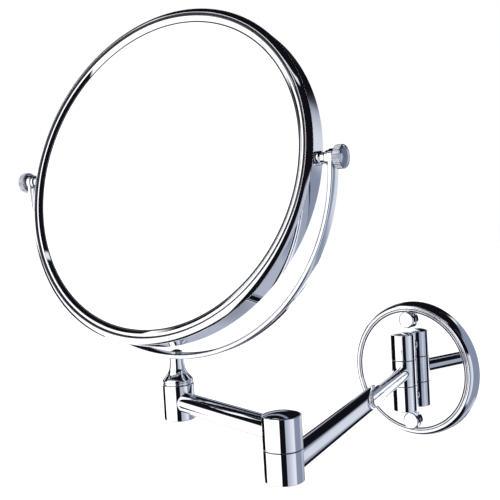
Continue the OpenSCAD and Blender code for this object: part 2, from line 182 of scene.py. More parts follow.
# %% Profiles
ARC_STEPS = 5
SUPPORT = 0.04           # mm from an arc to its support point
LONGEST_TRIM = 0.42      # share of a side that one corner may use up


def rounded(corners):
    """Points (r, z) of an outline whose corners (r, z, radius) are rounded off."""
    points = []
    last = len(corners) - 1
    for i, (r, z, radius) in enumerate(corners):
        here = Vector((r, z))
        if radius == 0 or i in (0, last):
            points.append(here)
            continue
        before = Vector(corners[i - 1][:2]) - here
        after = Vector(corners[i + 1][:2]) - here
        turn = math.pi - before.angle(after)
        trim = min(radius * math.tan(turn / 2), LONGEST_TRIM * before.length, LONGEST_TRIM * after.length)
        arc_radius = trim / math.tan(turn / 2)
        start, end = here + before.normalized() * trim, here + after.normalized() * trim
        centre = here + (before.normalized() + after.normalized()).normalized() * (
            arc_radius / math.cos(turn / 2))
        points.append(start + before.normalized() * SUPPORT)
        for step in range(ARC_STEPS + 1):
            share = step / ARC_STEPS
            chord = start.lerp(end, share) - centre
            points.append(centre + chord.normalized() * arc_radius)
        points.append(end + after.normalized() * SUPPORT)
    return points


def arc(centre_r, centre_z, radius, first, last, steps):
    """Points on an arc of the profile, from one angle to another, in degrees."""
    turns = (math.radians(first + (last - first) * i / steps) for i in range(steps + 1))
    return [Vector((centre_r + radius * math.cos(t), centre_z + radius * math.sin(t))) for t in turns]


print("a square corner becomes", len(rounded([(0, 0, 0), (9, 0, 0.3), (9, 5, 0.3), (0, 5, 0)])), "points")

# %% [markdown]
# `turned` spins a profile about Z. A point on the axis becomes one vertex, so the pole closes with a
# fan of triangles. A closed profile that never touches the axis gives a ring with a true bore.
# The place is put into the mesh itself, and the object stays at the origin, unturned.

# %% Turning
FLAT_FRAME = Matrix.Scale(1 / MM, 4)     # keeps millimetres while a piece is still being worked


def mesh_object(name, bm, where):
    """A mesh object at the origin, in metres, from a bmesh in millimetres in a place's own frame."""
    bmesh.ops.recalc_face_normals(bm, faces=bm.faces)
    bm.transform(where @ Matrix.Scale(MM, 4))
    data = bpy.data.meshes.new(name)
    bm.to_mesh(data)
    bm.free()
    for face in data.polygons:
        face.use_smooth = True
    made = bpy.data.objects.new(name, data)
    bpy.context.scene.collection.objects.link(made)
    return made


def lathe(bm, profile, segments=96, ring=False):
    """Spins a profile of (r, z) points about Z. ring closes the profile on itself."""
    loops = []
    for point in profile:
        if point[0] < 1e-5:
            loops.append([bm.verts.new((0, 0, point[1]))])
            continue
        loops.append([bm.verts.new((point[0] * math.cos(math.tau * i / segments),
                                    point[0] * math.sin(math.tau * i / segments), point[1]))
                      for i in range(segments)])
    pairs = list(zip(loops, loops[1:])) + ([(loops[-1], loops[0])] if ring else [])
    for below, above in pairs:
        for i in range(segments):
            j = (i + 1) % segments
            corners = [below[i % len(below)], below[j % len(below)],
                       above[j % len(above)], above[i % len(above)]]
            kept = list(dict.fromkeys(corners))
            if len(kept) > 2:
                bm.faces.new(kept)
    return bm


def turned(name, profile, where, segments=96, ring=False):
    """A finished lathe piece on a place's axis."""
    return mesh_object(name, lathe(bmesh.new(), profile, segments, ring), where)


def billet(radius, low, high, edge_low=0.15, edge_high=0.15):
    """Outline of a plain round bar with broken edges."""
    return rounded([(0, low, 0), (radius, low, edge_low), (radius, high, edge_high), (0, high, 0)])


def hollow(radius, bore, low, high, edge=0.12):
    """Closed outline of a tube or washer, for a ring; only its outer edges are broken."""
    return rounded([(bore, low, 0), (radius, low, edge), (radius, high, edge), (bore, high, 0)])


DOME_LIP = 0.3           # mm from a bar's side to where its dome starts


def domed(radius, low, high, rise, edge_low=0.15, steps=14):
    """Outline of a bar whose top is a shallow dome that rises by rise within the height."""
    rim = high - rise
    lip = radius - DOME_LIP
    ball = (lip * lip + rise * rise) / (2 * rise)
    half = math.asin(lip / ball)
    cap = [Vector((ball * math.sin(half * i / steps), high - ball + ball * math.cos(half * i / steps)))
           for i in range(steps + 1)]
    cap[0] = Vector((0, high))
    side = rounded([(0, low, 0), (radius, low, edge_low), (radius, rim, 0.22), (lip - 0.05, rim + 0.12, 0)])
    return side[:-1] + cap[::-1]


print("lathe ready")

# %% [markdown]
# ## Geometry Nodes: a ring of ribs
# A straight knurl is one small rib, repeated round a cylinder. One rib is drawn and the tree turns
# copies of it about Z. The copies are made real at the end, because an exported file drops instances.

# %% Node-tree helpers


def fill(tree, node, values):
    """Fills a node's inputs: a socket is linked, anything else is a plain value."""
    for key, value in values.items():
        if isinstance(value, bpy.types.NodeSocket):
            tree.links.new(value, node.inputs[key])
        else:
            node.inputs[key].default_value = value


def node_in(tree, kind, values=(), take=0, **settings):
    """Adds a node with its settings and inputs, and returns the output named by take."""
    made = tree.nodes.new(kind)
    for key, value in settings.items():
        setattr(made, key, value)
    fill(tree, made, dict(values))
    return made.outputs[take] if made.outputs else made


def new_tree(name, inputs):
    """A Geometry Nodes tree with a geometry input and named inputs; returns it with what comes in."""
    tree = bpy.data.node_groups.new(name, "GeometryNodeTree")
    tree.interface.new_socket("Geometry", in_out="INPUT", socket_type="NodeSocketGeometry")
    for label, kind, value in inputs:
        socket = tree.interface.new_socket(label, in_out="INPUT", socket_type=kind)
        if value is not None:
            socket.default_value = value
    tree.interface.new_socket("Geometry", in_out="OUTPUT", socket_type="NodeSocketGeometry")
    return tree, tree.nodes.new("NodeGroupInput").outputs


def finish_tree(tree, entry, shape, joined_with=None):
    """Every tree ends the same way: real geometry and one material."""
    if joined_with is not None:
        together = tree.nodes.new("GeometryNodeJoinGeometry")
        tree.links.new(shape, together.inputs[0])
        tree.links.new(joined_with, together.inputs[0])
        shape = together.outputs[0]
    real = node_in(tree, "GeometryNodeRealizeInstances", {"Geometry": shape})
    coated = node_in(tree, "GeometryNodeSetMaterial", {"Geometry": real, "Material": entry["Finish"]})
    node_in(tree, "NodeGroupOutput", {"Geometry": coated})
    print("tree:", tree.name)


def grown(made, tree, values, where=None):
    """Runs a tree on an object and keeps the result as a plain mesh, with no modifier left."""
    modifier = made.modifiers.new(tree.name, "NODES")
    modifier.node_group = tree
    for item in tree.interface.items_tree:
        if item.item_type == "SOCKET" and item.in_out == "INPUT" and item.name in values:
            modifier[item.identifier] = values[item.name]
    bpy.context.view_layer.update()
    depsgraph = bpy.context.evaluated_depsgraph_get()
    data = bpy.data.meshes.new_from_object(made.evaluated_get(depsgraph))
    made.modifiers.clear()
    made.data = data
    data.name = made.name
    if where is not None:
        data.transform(where @ Matrix.Scale(MM, 4))
    for face in data.polygons:
        face.use_smooth = True
    return made


FINISH = ("Finish", "NodeSocketMaterial", None)
print("node helpers ready")

# %% Ribs round an axis
ribs_tree, entry = new_tree("ribs_round", [("Count", "NodeSocketInt", 36), FINISH])
points = node_in(ribs_tree, "GeometryNodePoints", {"Count": entry["Count"]})
index = node_in(ribs_tree, "GeometryNodeInputIndex")
one_step = node_in(ribs_tree, "ShaderNodeMath", {0: math.tau, 1: entry["Count"]}, operation="DIVIDE")
angle = node_in(ribs_tree, "ShaderNodeMath", {0: index, 1: one_step}, operation="MULTIPLY")
turn = node_in(ribs_tree, "ShaderNodeCombineXYZ", {"Z": angle})
spread = node_in(ribs_tree, "GeometryNodeInstanceOnPoints", {
    "Points": points, "Instance": entry["Geometry"], "Rotation": turn})
finish_tree(ribs_tree, entry, spread)

# %% [markdown]
# ## Geometry Nodes: a pair on the wall plate
# The caps, screws and posts come in pairs, one above and one below the knuckle. A tree sets copies
# of one piece on a short line of points, so the pair can never go out of step.

# %% A row of copies
row_tree, entry = new_tree("row_of", [
    ("Count", "NodeSocketInt", 2), ("Start", "NodeSocketVector", None),
    ("Step", "NodeSocketVector", None), FINISH])
line = node_in(row_tree, "GeometryNodeMeshLine", {
    "Count": entry["Count"], "Start Location": entry["Start"], "Offset": entry["Step"]})
spread = node_in(row_tree, "GeometryNodeInstanceOnPoints", {
    "Points": line, "Instance": entry["Geometry"]})
finish_tree(row_tree, entry, spread)

# %% [markdown]
# ## Geometry Nodes: the half hoop
# The yoke is one flat strap bent to a half circle, a shape that follows a rule. The tree sweeps a
# rounded rectangle along an arc and joins the eyes at its two ends, which come in as geometry.

# %% A swept strap
hoop_tree, entry = new_tree("bent_strap", [
    ("Radius", "NodeSocketFloat", 110.0), ("Width", "NodeSocketFloat", 8.0),
    ("Thickness", "NodeSocketFloat", 3.0), ("Corner", "NodeSocketFloat", 0.5),
    ("Steps", "NodeSocketInt", 160), FINISH])
bend = node_in(hoop_tree, "GeometryNodeCurveArc", {
    "Start Angle": math.pi, "Sweep Angle": math.pi,
    "Resolution": entry["Steps"], "Radius": entry["Radius"]}, mode="RADIUS")
section = node_in(hoop_tree, "GeometryNodeCurvePrimitiveQuadrilateral", {
    "Width": entry["Thickness"], "Height": entry["Width"]})
soft_section = node_in(hoop_tree, "GeometryNodeFilletCurve", {
    "Count": 5, "Curve": section, "Radius": entry["Corner"]}, mode="POLY")
strap = node_in(hoop_tree, "GeometryNodeCurveToMesh", {
    "Fill Caps": True, "Curve": bend, "Profile Curve": soft_section})
finish_tree(hoop_tree, entry, strap, entry["Geometry"])

# %% [markdown]
# ## Geometry Nodes: a screw thread
# A thread is a small triangular ridge that follows a helix. The Spiral curve gives the path, a
# three-sided circle the ridge, and the screw's plain core comes in as geometry.

# %% A thread on a core
thread_tree, entry = new_tree("thread_on_core", [
    ("Turns", "NodeSocketFloat", 12.0), ("Radius", "NodeSocketFloat", 1.6),
    ("Start", "NodeSocketFloat", 0.0), ("Length", "NodeSocketFloat", 18.0),
    ("Ridge", "NodeSocketFloat", 0.4), FINISH])
helix = node_in(thread_tree, "GeometryNodeCurveSpiral", {
    "Resolution": 20, "Rotations": entry["Turns"], "Start Radius": entry["Radius"],
    "End Radius": entry["Radius"], "Height": entry["Length"]})
section = node_in(thread_tree, "GeometryNodeCurvePrimitiveCircle", {
    "Resolution": 3, "Radius": entry["Ridge"]})
thread = node_in(thread_tree, "GeometryNodeCurveToMesh", {
    "Fill Caps": True, "Curve": helix, "Profile Curve": section})
lift = node_in(thread_tree, "ShaderNodeCombineXYZ", {"Z": entry["Start"]})
lifted = node_in(thread_tree, "GeometryNodeTransform", {"Geometry": thread, "Translation": lift})
finish_tree(thread_tree, entry, lifted, entry["Geometry"])

# %% [markdown]
# ## Finishes: shared effects
# Real chrome is never a perfect mirror. Fingers and steam leave a faint film that blurs patches of
# it, cloths leave hairlines, and the buffing wheel leaves long ripples. Three small node groups hold
# these effects, so that each metal can have its own amount. All read Object coordinates in metres.

# %% Shader-group helpers


def new_group(name, inputs, output):
    """A shader node group with float inputs and one float output; returns it with what comes in."""
    group = bpy.data.node_groups.new(name, "ShaderNodeTree")
    for label, value in inputs:
        socket = group.interface.new_socket(label, in_out="INPUT", socket_type="NodeSocketFloat")
        socket.default_value = value
    group.interface.new_socket(output, in_out="OUTPUT", socket_type="NodeSocketFloat")
    return group, group.nodes.new("NodeGroupInput").outputs


def remap(tree, source, low, high, out_low=0.0, out_high=1.0):
    """A clamped Map Range on a socket, smoothed at both ends."""
    return node_in(tree, "ShaderNodeMapRange", {
        "Value": source, "From Min": low, "From Max": high, "To Min": out_low, "To Max": out_high},
        take="Result", interpolation_type="SMOOTHSTEP")


# %% Film, hairlines and ripple
film_group, entry = new_group("film_and_fingers", [("Scale", 40.0), ("Cover", 0.5)], "Mask")
spot = node_in(film_group, "ShaderNodeTexCoord", take="Object")
cloud = node_in(film_group, "ShaderNodeTexNoise", {
    "Vector": spot, "Scale": entry["Scale"], "Detail": 5.0, "Roughness": 0.62, "Distortion": 0.4}, "Fac")
excess = node_in(film_group, "ShaderNodeMath", {0: cloud, 1: entry["Cover"]}, operation="SUBTRACT")
node_in(film_group, "NodeGroupOutput", {"Mask": remap(film_group, excess, -0.08, 0.22)})

hair_group, entry = new_group("hairlines", [("Scale", 900.0), ("Stretch", 0.03)], "Height")
spot = node_in(hair_group, "ShaderNodeTexCoord", take="Object")
stretch = node_in(hair_group, "ShaderNodeCombineXYZ", {"X": 1.0, "Y": 1.0, "Z": entry["Stretch"]})
drawn_out = node_in(hair_group, "ShaderNodeVectorMath", {0: spot, 1: stretch}, operation="MULTIPLY")
lines = node_in(hair_group, "ShaderNodeTexNoise", {
    "Vector": drawn_out, "Scale": entry["Scale"], "Detail": 3.0, "Roughness": 0.7}, "Fac")
node_in(hair_group, "NodeGroupOutput", {"Height": remap(hair_group, lines, 0.35, 0.75)})

ripple_group, entry = new_group("buffing_ripple", [("Scale", 30.0)], "Height")
spot = node_in(ripple_group, "ShaderNodeTexCoord", take="Object")
waves = node_in(ripple_group, "ShaderNodeTexNoise", {
    "Vector": spot, "Scale": entry["Scale"], "Detail": 1.0, "Roughness": 0.3}, "Fac")
node_in(ripple_group, "NodeGroupOutput", {"Height": waves})
print("shader groups:", film_group.name, hair_group.name, ripple_group.name)

# %% [markdown]
# ## Finishes: metals
# One function makes every metal. It mixes a clean and a filmed tone, drives the roughness with the
# same mask, and sums hairlines and ripple into one bump. The numbers are what tells chrome from
# zinc: how dark the metal is, how rough, and how deep its marks go.

# %% Metal


def use_group(tree, group, **values):
    """The output of a shader group with some of its inputs set."""
    return node_in(tree, "ShaderNodeGroup", values, node_tree=group)


def two_tone(name, tones, roughness, scale, cover):
    """A material whose tone and roughness both follow the film mask; returns it with tree and shader."""
    finish = bpy.data.materials.new(name)
    finish.use_nodes = True
    tree = finish.node_tree
    shader = tree.nodes["Principled BSDF"]
    mask = use_group(tree, film_group, Scale=scale, Cover=cover)
    tone = node_in(tree, "ShaderNodeMix", {
        "A": (*tones[0], 1.0), "B": (*tones[1], 1.0), "Factor": mask}, "Result", data_type="RGBA")
    fill(tree, shader, {"Base Color": tone, "Roughness": remap(tree, mask, 0.0, 1.0, *roughness)})
    return finish, tree, shader


def metal(name, clean, filmed, gloss, dull, film, hair, ripple):
    """A metal: two tones, two roughnesses, film (scale, cover), hair (scale, stretch, depth), ripple."""
    finish, tree, shader = two_tone(name, (clean, filmed), (gloss, dull), *film)
    lines = use_group(tree, hair_group, Scale=hair[0], Stretch=hair[1])
    waves = use_group(tree, ripple_group, Scale=ripple[0])
    fine = node_in(tree, "ShaderNodeMath", {0: lines, 1: hair[2]}, operation="MULTIPLY")
    height = node_in(tree, "ShaderNodeMath", {0: waves, 1: ripple[1], 2: fine}, operation="MULTIPLY_ADD")
    bump = node_in(tree, "ShaderNodeBump", {"Strength": 1.0, "Distance": 0.0002, "Height": height})
    fill(tree, shader, {"Metallic": 1.0, "Normal": bump})
    return finish


CHROME = metal("polished_chrome", (0.83, 0.845, 0.88), (0.78, 0.80, 0.84), 0.012, 0.045,
               film=(26.0, 0.53), hair=(700.0, 0.04, 0.002), ripple=(22.0, 0.010))
KNURLED = metal("knurled_chrome", (0.52, 0.54, 0.60), (0.34, 0.36, 0.42), 0.08, 0.22,
                film=(160.0, 0.48), hair=(1500.0, 0.2, 0.01), ripple=(60.0, 0.0))
BRIGHT = metal("bright_turned_ring", (0.88, 0.89, 0.91), (0.80, 0.81, 0.83), 0.10, 0.22,
               film=(120.0, 0.5), hair=(1200.0, 6.0, 0.05), ripple=(60.0, 0.0))
ZINC = metal("zinc_plated_steel", (0.60, 0.61, 0.63), (0.42, 0.43, 0.46), 0.22, 0.42,
             film=(90.0, 0.47), hair=(1100.0, 0.4, 0.12), ripple=(80.0, 0.1))
print("metals:", CHROME.name, KNURLED.name, BRIGHT.name, ZINC.name)

# %% [markdown]
# ## Finishes: mirror glass
# The silvered glass is a metal seen through a few millimetres of clear glass, which tints it very
# slightly green. A clear coat stands for the glass's own surface. Faint wiping marks are all it shows.

# %% Mirror glass


def silvered(name, tone, scale):
    """Mirror glass of a tone, with wiping marks of a scale."""
    finish = metal(name, tone, tuple(0.97 * part for part in tone), 0.0, 0.018,
                   film=(scale, 0.58), hair=(300.0, 0.3, 0.0), ripple=(8.0, 0.0))
    shader = finish.node_tree.nodes["Principled BSDF"]
    shader.inputs["Coat Weight"].default_value = 0.35
    shader.inputs["Coat Roughness"].default_value = 0.0
    return finish


PLAIN_MIRROR = silvered("silvered_plain_glass", (0.945, 0.955, 0.955), 14.0)
MAGNIFYING_MIRROR = silvered("silvered_dished_glass", (0.93, 0.945, 0.94), 18.0)
print("mirrors:", PLAIN_MIRROR.name, MAGNIFYING_MIRROR.name)

# %% [markdown]
# ## Finishes: nylon, friction washers and the pad
# The few plastics hide in the joints. Natural nylon is milky and lets a little light in, the friction
# washers are near black with a dull sheen, and the pad behind the glass is grey board.

# %% Plastics


def plastic(name, tone, worn, gloss, dull, scale, grain, milky=0.0):
    """A plastic: two tones in soft clouds, a roughness range, and a moulded grain of a given depth."""
    finish, tree, shader = two_tone(name, (tone, worn), (gloss, dull), scale, 0.45)
    pits = use_group(tree, ripple_group, Scale=2600.0)
    bump = node_in(tree, "ShaderNodeBump", {"Strength": grain, "Distance": 0.0001, "Height": pits})
    fill(tree, shader, {"Subsurface Weight": milky, "Subsurface Radius": (0.002, 0.002, 0.0015),
                        "Normal": bump})
    return finish


NYLON = plastic("natural_nylon", (0.80, 0.78, 0.71), (0.70, 0.67, 0.60), 0.32, 0.5, 120.0, 0.3, milky=0.25)
WASHER_AND_SHADE = plastic("friction_washer_and_painted_shade", (0.030, 0.031, 0.034), (0.055, 0.056, 0.060), 0.5, 0.72, 300.0, 0.6)
PAD = plastic("grey_board", (0.24, 0.24, 0.25), (0.19, 0.19, 0.20), 0.8, 0.95, 60.0, 1.0)
print("plastics:", NYLON.name, WASHER_AND_SHADE.name, PAD.name)

# %% [markdown]
# ## Handing a piece over
# Each finished piece rides on one body, stands for one or more nodes of the mechanical model, and
# names the slot its finish belongs to. `hand_over` does these together and gives the material.
# `dark_lines` gives the faces in some rings of a piece a dull black; in the grooves of the flange and the
# bezels that black is painted shade.

# %% Hand over
FINISHES = {"chrome": CHROME, "knob_chrome": KNURLED, "bearing_ring": BRIGHT, "steel": ZINC,
            "nylon": NYLON, "washer_rubber": WASHER_AND_SHADE, "plain_mirror": PLAIN_MIRROR,
            "magnifying_mirror": MAGNIFYING_MIRROR, "pad": PAD}


def hand_over(piece, body, slot, *stands_for):
    """The piece gets its finish, moves with its body and stands for the CAD nodes named."""
    if not piece.data.materials:
        piece.data.materials.append(FINISHES[slot])
    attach(piece, body)
    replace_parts(piece, *stands_for)
    return piece


def dark_lines(piece, finish, where, rings, above=-math.inf):
    """Blackens the faces between two radii, and above a height, of a piece that is otherwise finish."""
    # The near-black second material is painted shade wherever it lies in a groove.
    piece.data.materials.append(finish)
    piece.data.materials.append(WASHER_AND_SHADE)
    for face in piece.data.polygons:
        centre = (where.inverted() @ face.center) / MM
        in_ring = any(inner < math.hypot(centre.x, centre.y) < outer for inner, outer in rings)
        face.material_index = int(in_ring and centre.z > above)


print("finishes:", len(FINISHES))

# %% [markdown]
# ## The wall flange
# The flange is a spun dish: one disc of brass pressed over a form, 1.6 mm thick. Two low ridges run
# round its flat face, the rim is rolled, and the inside follows the outside. So the outline goes out
# along the face, over the ridges and the roll, down the side, round the cut edge and back inside.

# %% Wall flange
WALL_SHEET = 1.6         # mm, thickness of the spun brass
SIDE = 3.0               # mm, straight side next to the wall
FACE_BELOW_RIM = 0.5     # mm

_, rim_top, flange_radius = span("wall_flange", WALL)
face_height = rim_top - FACE_BELOW_RIM
face_radius = span("screw_caps", WALL)[2] - 0.4


def flange_side_outline(inset):
    """The roll and the side of the flange, from the face outwards, moved in by inset."""
    roll = (flange_radius - face_radius) / 2
    crown = flange_radius - inset - roll
    inner = [Vector((crown + roll * math.cos(t), face_height - inset + FACE_BELOW_RIM * math.sin(t)))
             for t in (math.radians(180 - 90 * i / 8) for i in range(9))]
    outer = [Vector((crown + roll * math.cos(t), SIDE + (rim_top - SIDE - inset) * math.sin(t)))
             for t in (math.radians(90 - 90 * i / 18) for i in range(1, 19))]
    return inner + outer


def ridge(start, width, rise, steps=8):
    """A low round ridge on the flange's face."""
    half = width / 2
    ball = (half * half + rise * rise) / (2 * rise)
    lean = math.degrees(math.acos(half / ball))
    return arc(start + half, face_height + rise - ball, ball, 180 - lean, lean, steps)


# Radii go out from the edge of the flat face: a groove, a ridge, a groove and a second ridge.
FIRST_GROOVE = (face_radius - 0.35, face_radius + 0.45)
SECOND_GROOVE = (face_radius + 1.45, face_radius + 1.95)
GROOVE_DEPTH = 0.2
RIDGES = ridge(FIRST_GROOVE[1], 1.0, 0.36) + ridge(SECOND_GROOVE[1], 0.9, 0.4)
outer_side = RIDGES + [point for point in flange_side_outline(0.0) if point.x > face_radius + 2.9]
inner_side = flange_side_outline(WALL_SHEET)
cut_edge = rounded([(flange_radius, 1.0, 0), (flange_radius, 0.0, 0.3),
                    (flange_radius - WALL_SHEET, 0.0, 0.3), (flange_radius - WALL_SHEET, 1.0, 0)])
flat_face = [Vector((0, face_height)), Vector((face_radius - 0.6, face_height)),
             Vector((face_radius - 0.36, face_height)),
             Vector((face_radius - 0.3, face_height - GROOVE_DEPTH)),
             Vector((face_radius + 0.4, face_height - GROOVE_DEPTH))]
flat_back = [Vector((inner_side[0].x - 0.1, inner_side[0].y)), Vector((0, inner_side[0].y))]
flange_outline = flat_face + outer_side + cut_edge + inner_side[::-1] + flat_back
wall_flange = turned("wall_flange_spun", flange_outline, WALL, segments=160)
# The faces in both grooves are painted black: this is painted shade in the grooves.
dark_lines(wall_flange, CHROME, WALL, [FIRST_GROOVE, SECOND_GROOVE], face_height - 1)
hand_over(wall_flange, "wall_mount", "chrome", "wall_flange")
print("flange", round(flange_radius * 2, 1), "mm across,", len(wall_flange.data.polygons), "faces")

# %% [markdown]
# ## What is fastened to the flange
# Behind the face lies a steel plate that takes the load. In front, two round posts carry the
# knuckle and two screw caps hide the wall screws. Each pair is one drawn piece and the row tree.

# %% Pairs on the flange


def ends(node):
    """Where a pair of pieces starts and ends, out of the wall, and their radius, in mm."""
    low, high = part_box(node)
    return -high.y / MM, -low.y / MM, (high.x - low.x) / 2 / MM


def pair(name, bm, node, slot):
    """Two copies of a piece drawn on the wall's axis, as far up and down as the node says."""
    _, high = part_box(node)
    rise = high.z / MM - ends(node)[2]
    made = grown(mesh_object(name, bm, FLAT_FRAME), row_tree, {
        "Start": (0.0, -rise, 0.0), "Step": (0.0, 2 * rise, 0.0), "Count": 2,
        "Finish": FINISHES[slot]}, WALL)
    print(name, "at", round(rise, 2), "mm above and below the middle")
    return hand_over(made, "wall_mount", slot, node)


cap_low, cap_high, cap_radius = ends("screw_caps")
cap = lathe(bmesh.new(), rounded([
    (0, cap_low, 0), (cap_radius - 0.5, cap_low, 0.1), (cap_radius - 0.5, cap_low + 0.45, 0.08),
    (cap_radius, cap_low + 0.85, 0.2), (cap_radius, cap_high, 1.25), (0, cap_high, 0)]))
pair("screw_caps_turned", cap, "screw_caps", "chrome")

post_low, post_high, post_radius = ends("knuckle_spacers")
post = lathe(bmesh.new(), billet(post_radius, post_low, post_high, 0.1, 0.1))
pair("knuckle_posts", post, "knuckle_spacers", "chrome")

# %% Backing plate
plate_low, plate_high, plate_radius = span("backing_plate", WALL)
dish_height = plate_low + 0.35           # a pressed step stiffens the plate
plate_outline = rounded([
    (0, plate_low, 0), (plate_radius * 0.55, plate_low, 0.4), (plate_radius * 0.58, dish_height, 0.4),
    (plate_radius - 3, dish_height, 0.4), (plate_radius - 2, plate_low, 0.4),
    (plate_radius, plate_low, 0.3), (plate_radius, plate_high, 0.3), (0, plate_high, 0)])
backing_plate = turned("backing_plate_pressed", plate_outline, WALL, segments=128)
hand_over(backing_plate, "wall_mount", "steel", "backing_plate")
print("backing plate", round(plate_high - plate_low, 1), "mm thick")

# %% [markdown]
# ## Screws
# The wall screws pass the flange under the caps and end in the wall, so from behind one sees their
# threads. The knuckle is held by two socket screws from behind. A screw is a lathe job, then a
# thread from the helix tree, then the pair. A recess is cut by a boolean with a plain prism.

# %% Recesses


def prism(sides, radius, low, high, turn_by=0.0):
    """A straight prism about Z as a bmesh."""
    bm = bmesh.new()
    rings = []
    for z in (low, high):
        rings.append([bm.verts.new((radius * math.cos(math.tau * i / sides + turn_by),
                                    radius * math.sin(math.tau * i / sides + turn_by), z))
                      for i in range(sides)])
    bm.faces.new(rings[0][::-1])
    bm.faces.new(rings[1])
    for i in range(sides):
        j = (i + 1) % sides
        bm.faces.new((rings[0][i], rings[0][j], rings[1][j], rings[1][i]))
    return bm


def slab(length, width, low, high):
    """A flat bar across the axis, from a four-sided prism stretched to size."""
    bm = prism(4, math.sqrt(0.5), low, high, math.pi / 4)
    bmesh.ops.scale(bm, vec=(length, width, 1), verts=bm.verts)
    return bm


def crisp(piece, degrees=30):
    """Keeps the edges over an angle sharp."""
    piece.data.set_sharp_from_angle(angle=math.radians(degrees))
    return piece


def cut(piece, *tools):
    """Cuts tools, drawn in the same frame, out of a piece."""
    for tool in tools:
        cutter = mesh_object("cutter", tool, FLAT_FRAME)
        modifier = piece.modifiers.new("cut", "BOOLEAN")
        modifier.operation, modifier.object, modifier.solver = "DIFFERENCE", cutter, "EXACT"
        bpy.context.view_layer.update()
        depsgraph = bpy.context.evaluated_depsgraph_get()
        piece.data = bpy.data.meshes.new_from_object(piece.evaluated_get(depsgraph))
        piece.modifiers.clear()
        bpy.data.objects.remove(cutter)
    for face in piece.data.polygons:
        face.use_smooth = True
    return crisp(piece)


def as_bmesh(piece):
    """The piece's mesh as a bmesh; the object itself is thrown away."""
    bm = bmesh.new()
    bm.from_mesh(piece.data)
    bpy.data.objects.remove(piece)
    return bm


def recessed(name, bm, where, *tools):
    """A piece on a place's axis, with the tools cut out of it."""
    blank = cut(mesh_object("blank", bm, FLAT_FRAME), *tools)
    return crisp(mesh_object(name, as_bmesh(blank), where))


def add_to(bm, extra, by):
    """Joins a second bmesh, moved by a matrix, to the first."""
    extra.transform(by)
    part = bpy.data.meshes.new("part")
    extra.to_mesh(part)
    extra.free()
    bm.from_mesh(part)
    bpy.data.meshes.remove(part)


print("recess tools ready")

# %% Knuckle screws
screw_low, screw_high, _ = ends("knuckle_screws")
HEAD_RADIUS, THREAD_RADIUS, HEXAGON = 4.4, 2.5, 2.35     # mm
head_top = screw_low + 2.8
socket_screw = mesh_object("socket_screw", lathe(bmesh.new(), rounded([
    (0, screw_low, 0), (HEAD_RADIUS, screw_low, 0.35), (HEAD_RADIUS, head_top, 0.1),
    (THREAD_RADIUS, head_top, 0.05), (THREAD_RADIUS, screw_high, 0.3), (0, screw_high, 0)]),
    64), FLAT_FRAME)
cut(socket_screw, prism(6, HEXAGON, screw_low - 1, screw_low + 1.8, math.pi / 6))
crisp(pair("knuckle_socket_screws", as_bmesh(socket_screw), "knuckle_screws", "steel"))

# %% Wall screws
screw_low, screw_high, head_radius = ends("wall_screws")
SHANK, CREST_RADIUS, ROOT, POINT = 2.2, 2.0, 1.5, 4.0    # mm, radii and the length of the point
thread_start = screw_low + POINT
head_start = screw_high - 2.2
core = lathe(bmesh.new(), rounded([
    (0, screw_low, 0), (ROOT, thread_start, 0.3), (ROOT, -0.4, 0.1), (SHANK, 0.2, 0.1),
    (SHANK, head_start, 0.05), (head_radius, head_start, 0.2), (head_radius - 1.0, screw_high, 0.3),
    (0, screw_high, 0)]), 48)
threaded = grown(mesh_object("threaded_screw", core, FLAT_FRAME), thread_tree, {
    "Turns": 11.0, "Radius": ROOT + 0.08, "Start": thread_start, "Length": -0.8 - thread_start,
    "Ridge": CREST_RADIUS - ROOT - 0.09, "Finish": ZINC})
crisp(pair("wall_screws_threaded", as_bmesh(threaded), "wall_screws", "steel"), 40)

# %% [markdown]
# ## The wall knuckle
# Three turned barrels stand on one pin. The upper and lower ones are fixed, the middle one turns
# with the arm. Dark friction washers fill the seams and sit back a little, so they read as lines.

# %% Knuckle
DOME_RISE = 2.0          # mm, the low dome that caps the knuckle and the elbow
low, high, knuckle_radius = span("upper_knuckle", KNUCKLE)
upper_knuckle = turned("upper_knuckle_turned", domed(knuckle_radius, low, high, DOME_RISE), KNUCKLE)
hand_over(upper_knuckle, "wall_mount", "chrome", "upper_knuckle")

low, high, _ = span("lower_knuckle", KNUCKLE)
PLUG_RADIUS, PLUG_DEPTH = 5.0, 3.75      # mm, the well in which a slotted plug closes the pin's bore
lower_knuckle = turned("lower_knuckle_turned", rounded([
    (0, low + PLUG_DEPTH, 0), (PLUG_RADIUS, low + PLUG_DEPTH, 0.05), (PLUG_RADIUS, low, 0.15),
    (knuckle_radius, low, 0.5), (knuckle_radius, high, 0.15), (0, high, 0)]), KNUCKLE)
hand_over(lower_knuckle, "wall_mount", "chrome", "lower_knuckle")

low, high, plug_radius = span("knuckle_plug", KNUCKLE)
plug = lathe(bmesh.new(), billet(plug_radius - 0.03, low, high, 0.25, 0.1), 64)
knuckle_plug = recessed("knuckle_plug_slotted", plug, KNUCKLE, slab(12, 1.2, low - 1, low + 1.3))
hand_over(knuckle_plug, "wall_mount", "chrome", "knuckle_plug")

low, high, _ = span("arm_tee", KNUCKLE)
arm_tee = turned("arm_tee_turned", billet(knuckle_radius, low, high), KNUCKLE)
hand_over(arm_tee, "inner_arm", "chrome", "arm_tee")

low, high, washer_radius = span("knuckle_washers", KNUCKLE)
PIN_BORE, WASHER_THICK = 3.1, 0.4
washers = bmesh.new()
for start in (low, high - WASHER_THICK):
    lathe(washers, hollow(washer_radius, PIN_BORE, start, start + WASHER_THICK, 0.1), 64, ring=True)
knuckle_washers = mesh_object("knuckle_washers_cut", washers, KNUCKLE)
hand_over(knuckle_washers, "wall_mount", "washer_rubber", "knuckle_washers")
print("knuckle", round(2 * knuckle_radius, 1), "mm across")

# %% [markdown]
# ## The telescopic arm
# A slim rod slides in a wider tube. The tube's mouth is rolled in slightly and holds a dark bush that
# the rod runs in. All of it is plain turning, but the mouth's edge is what shows that it is a
# tube and not a step in a bar.

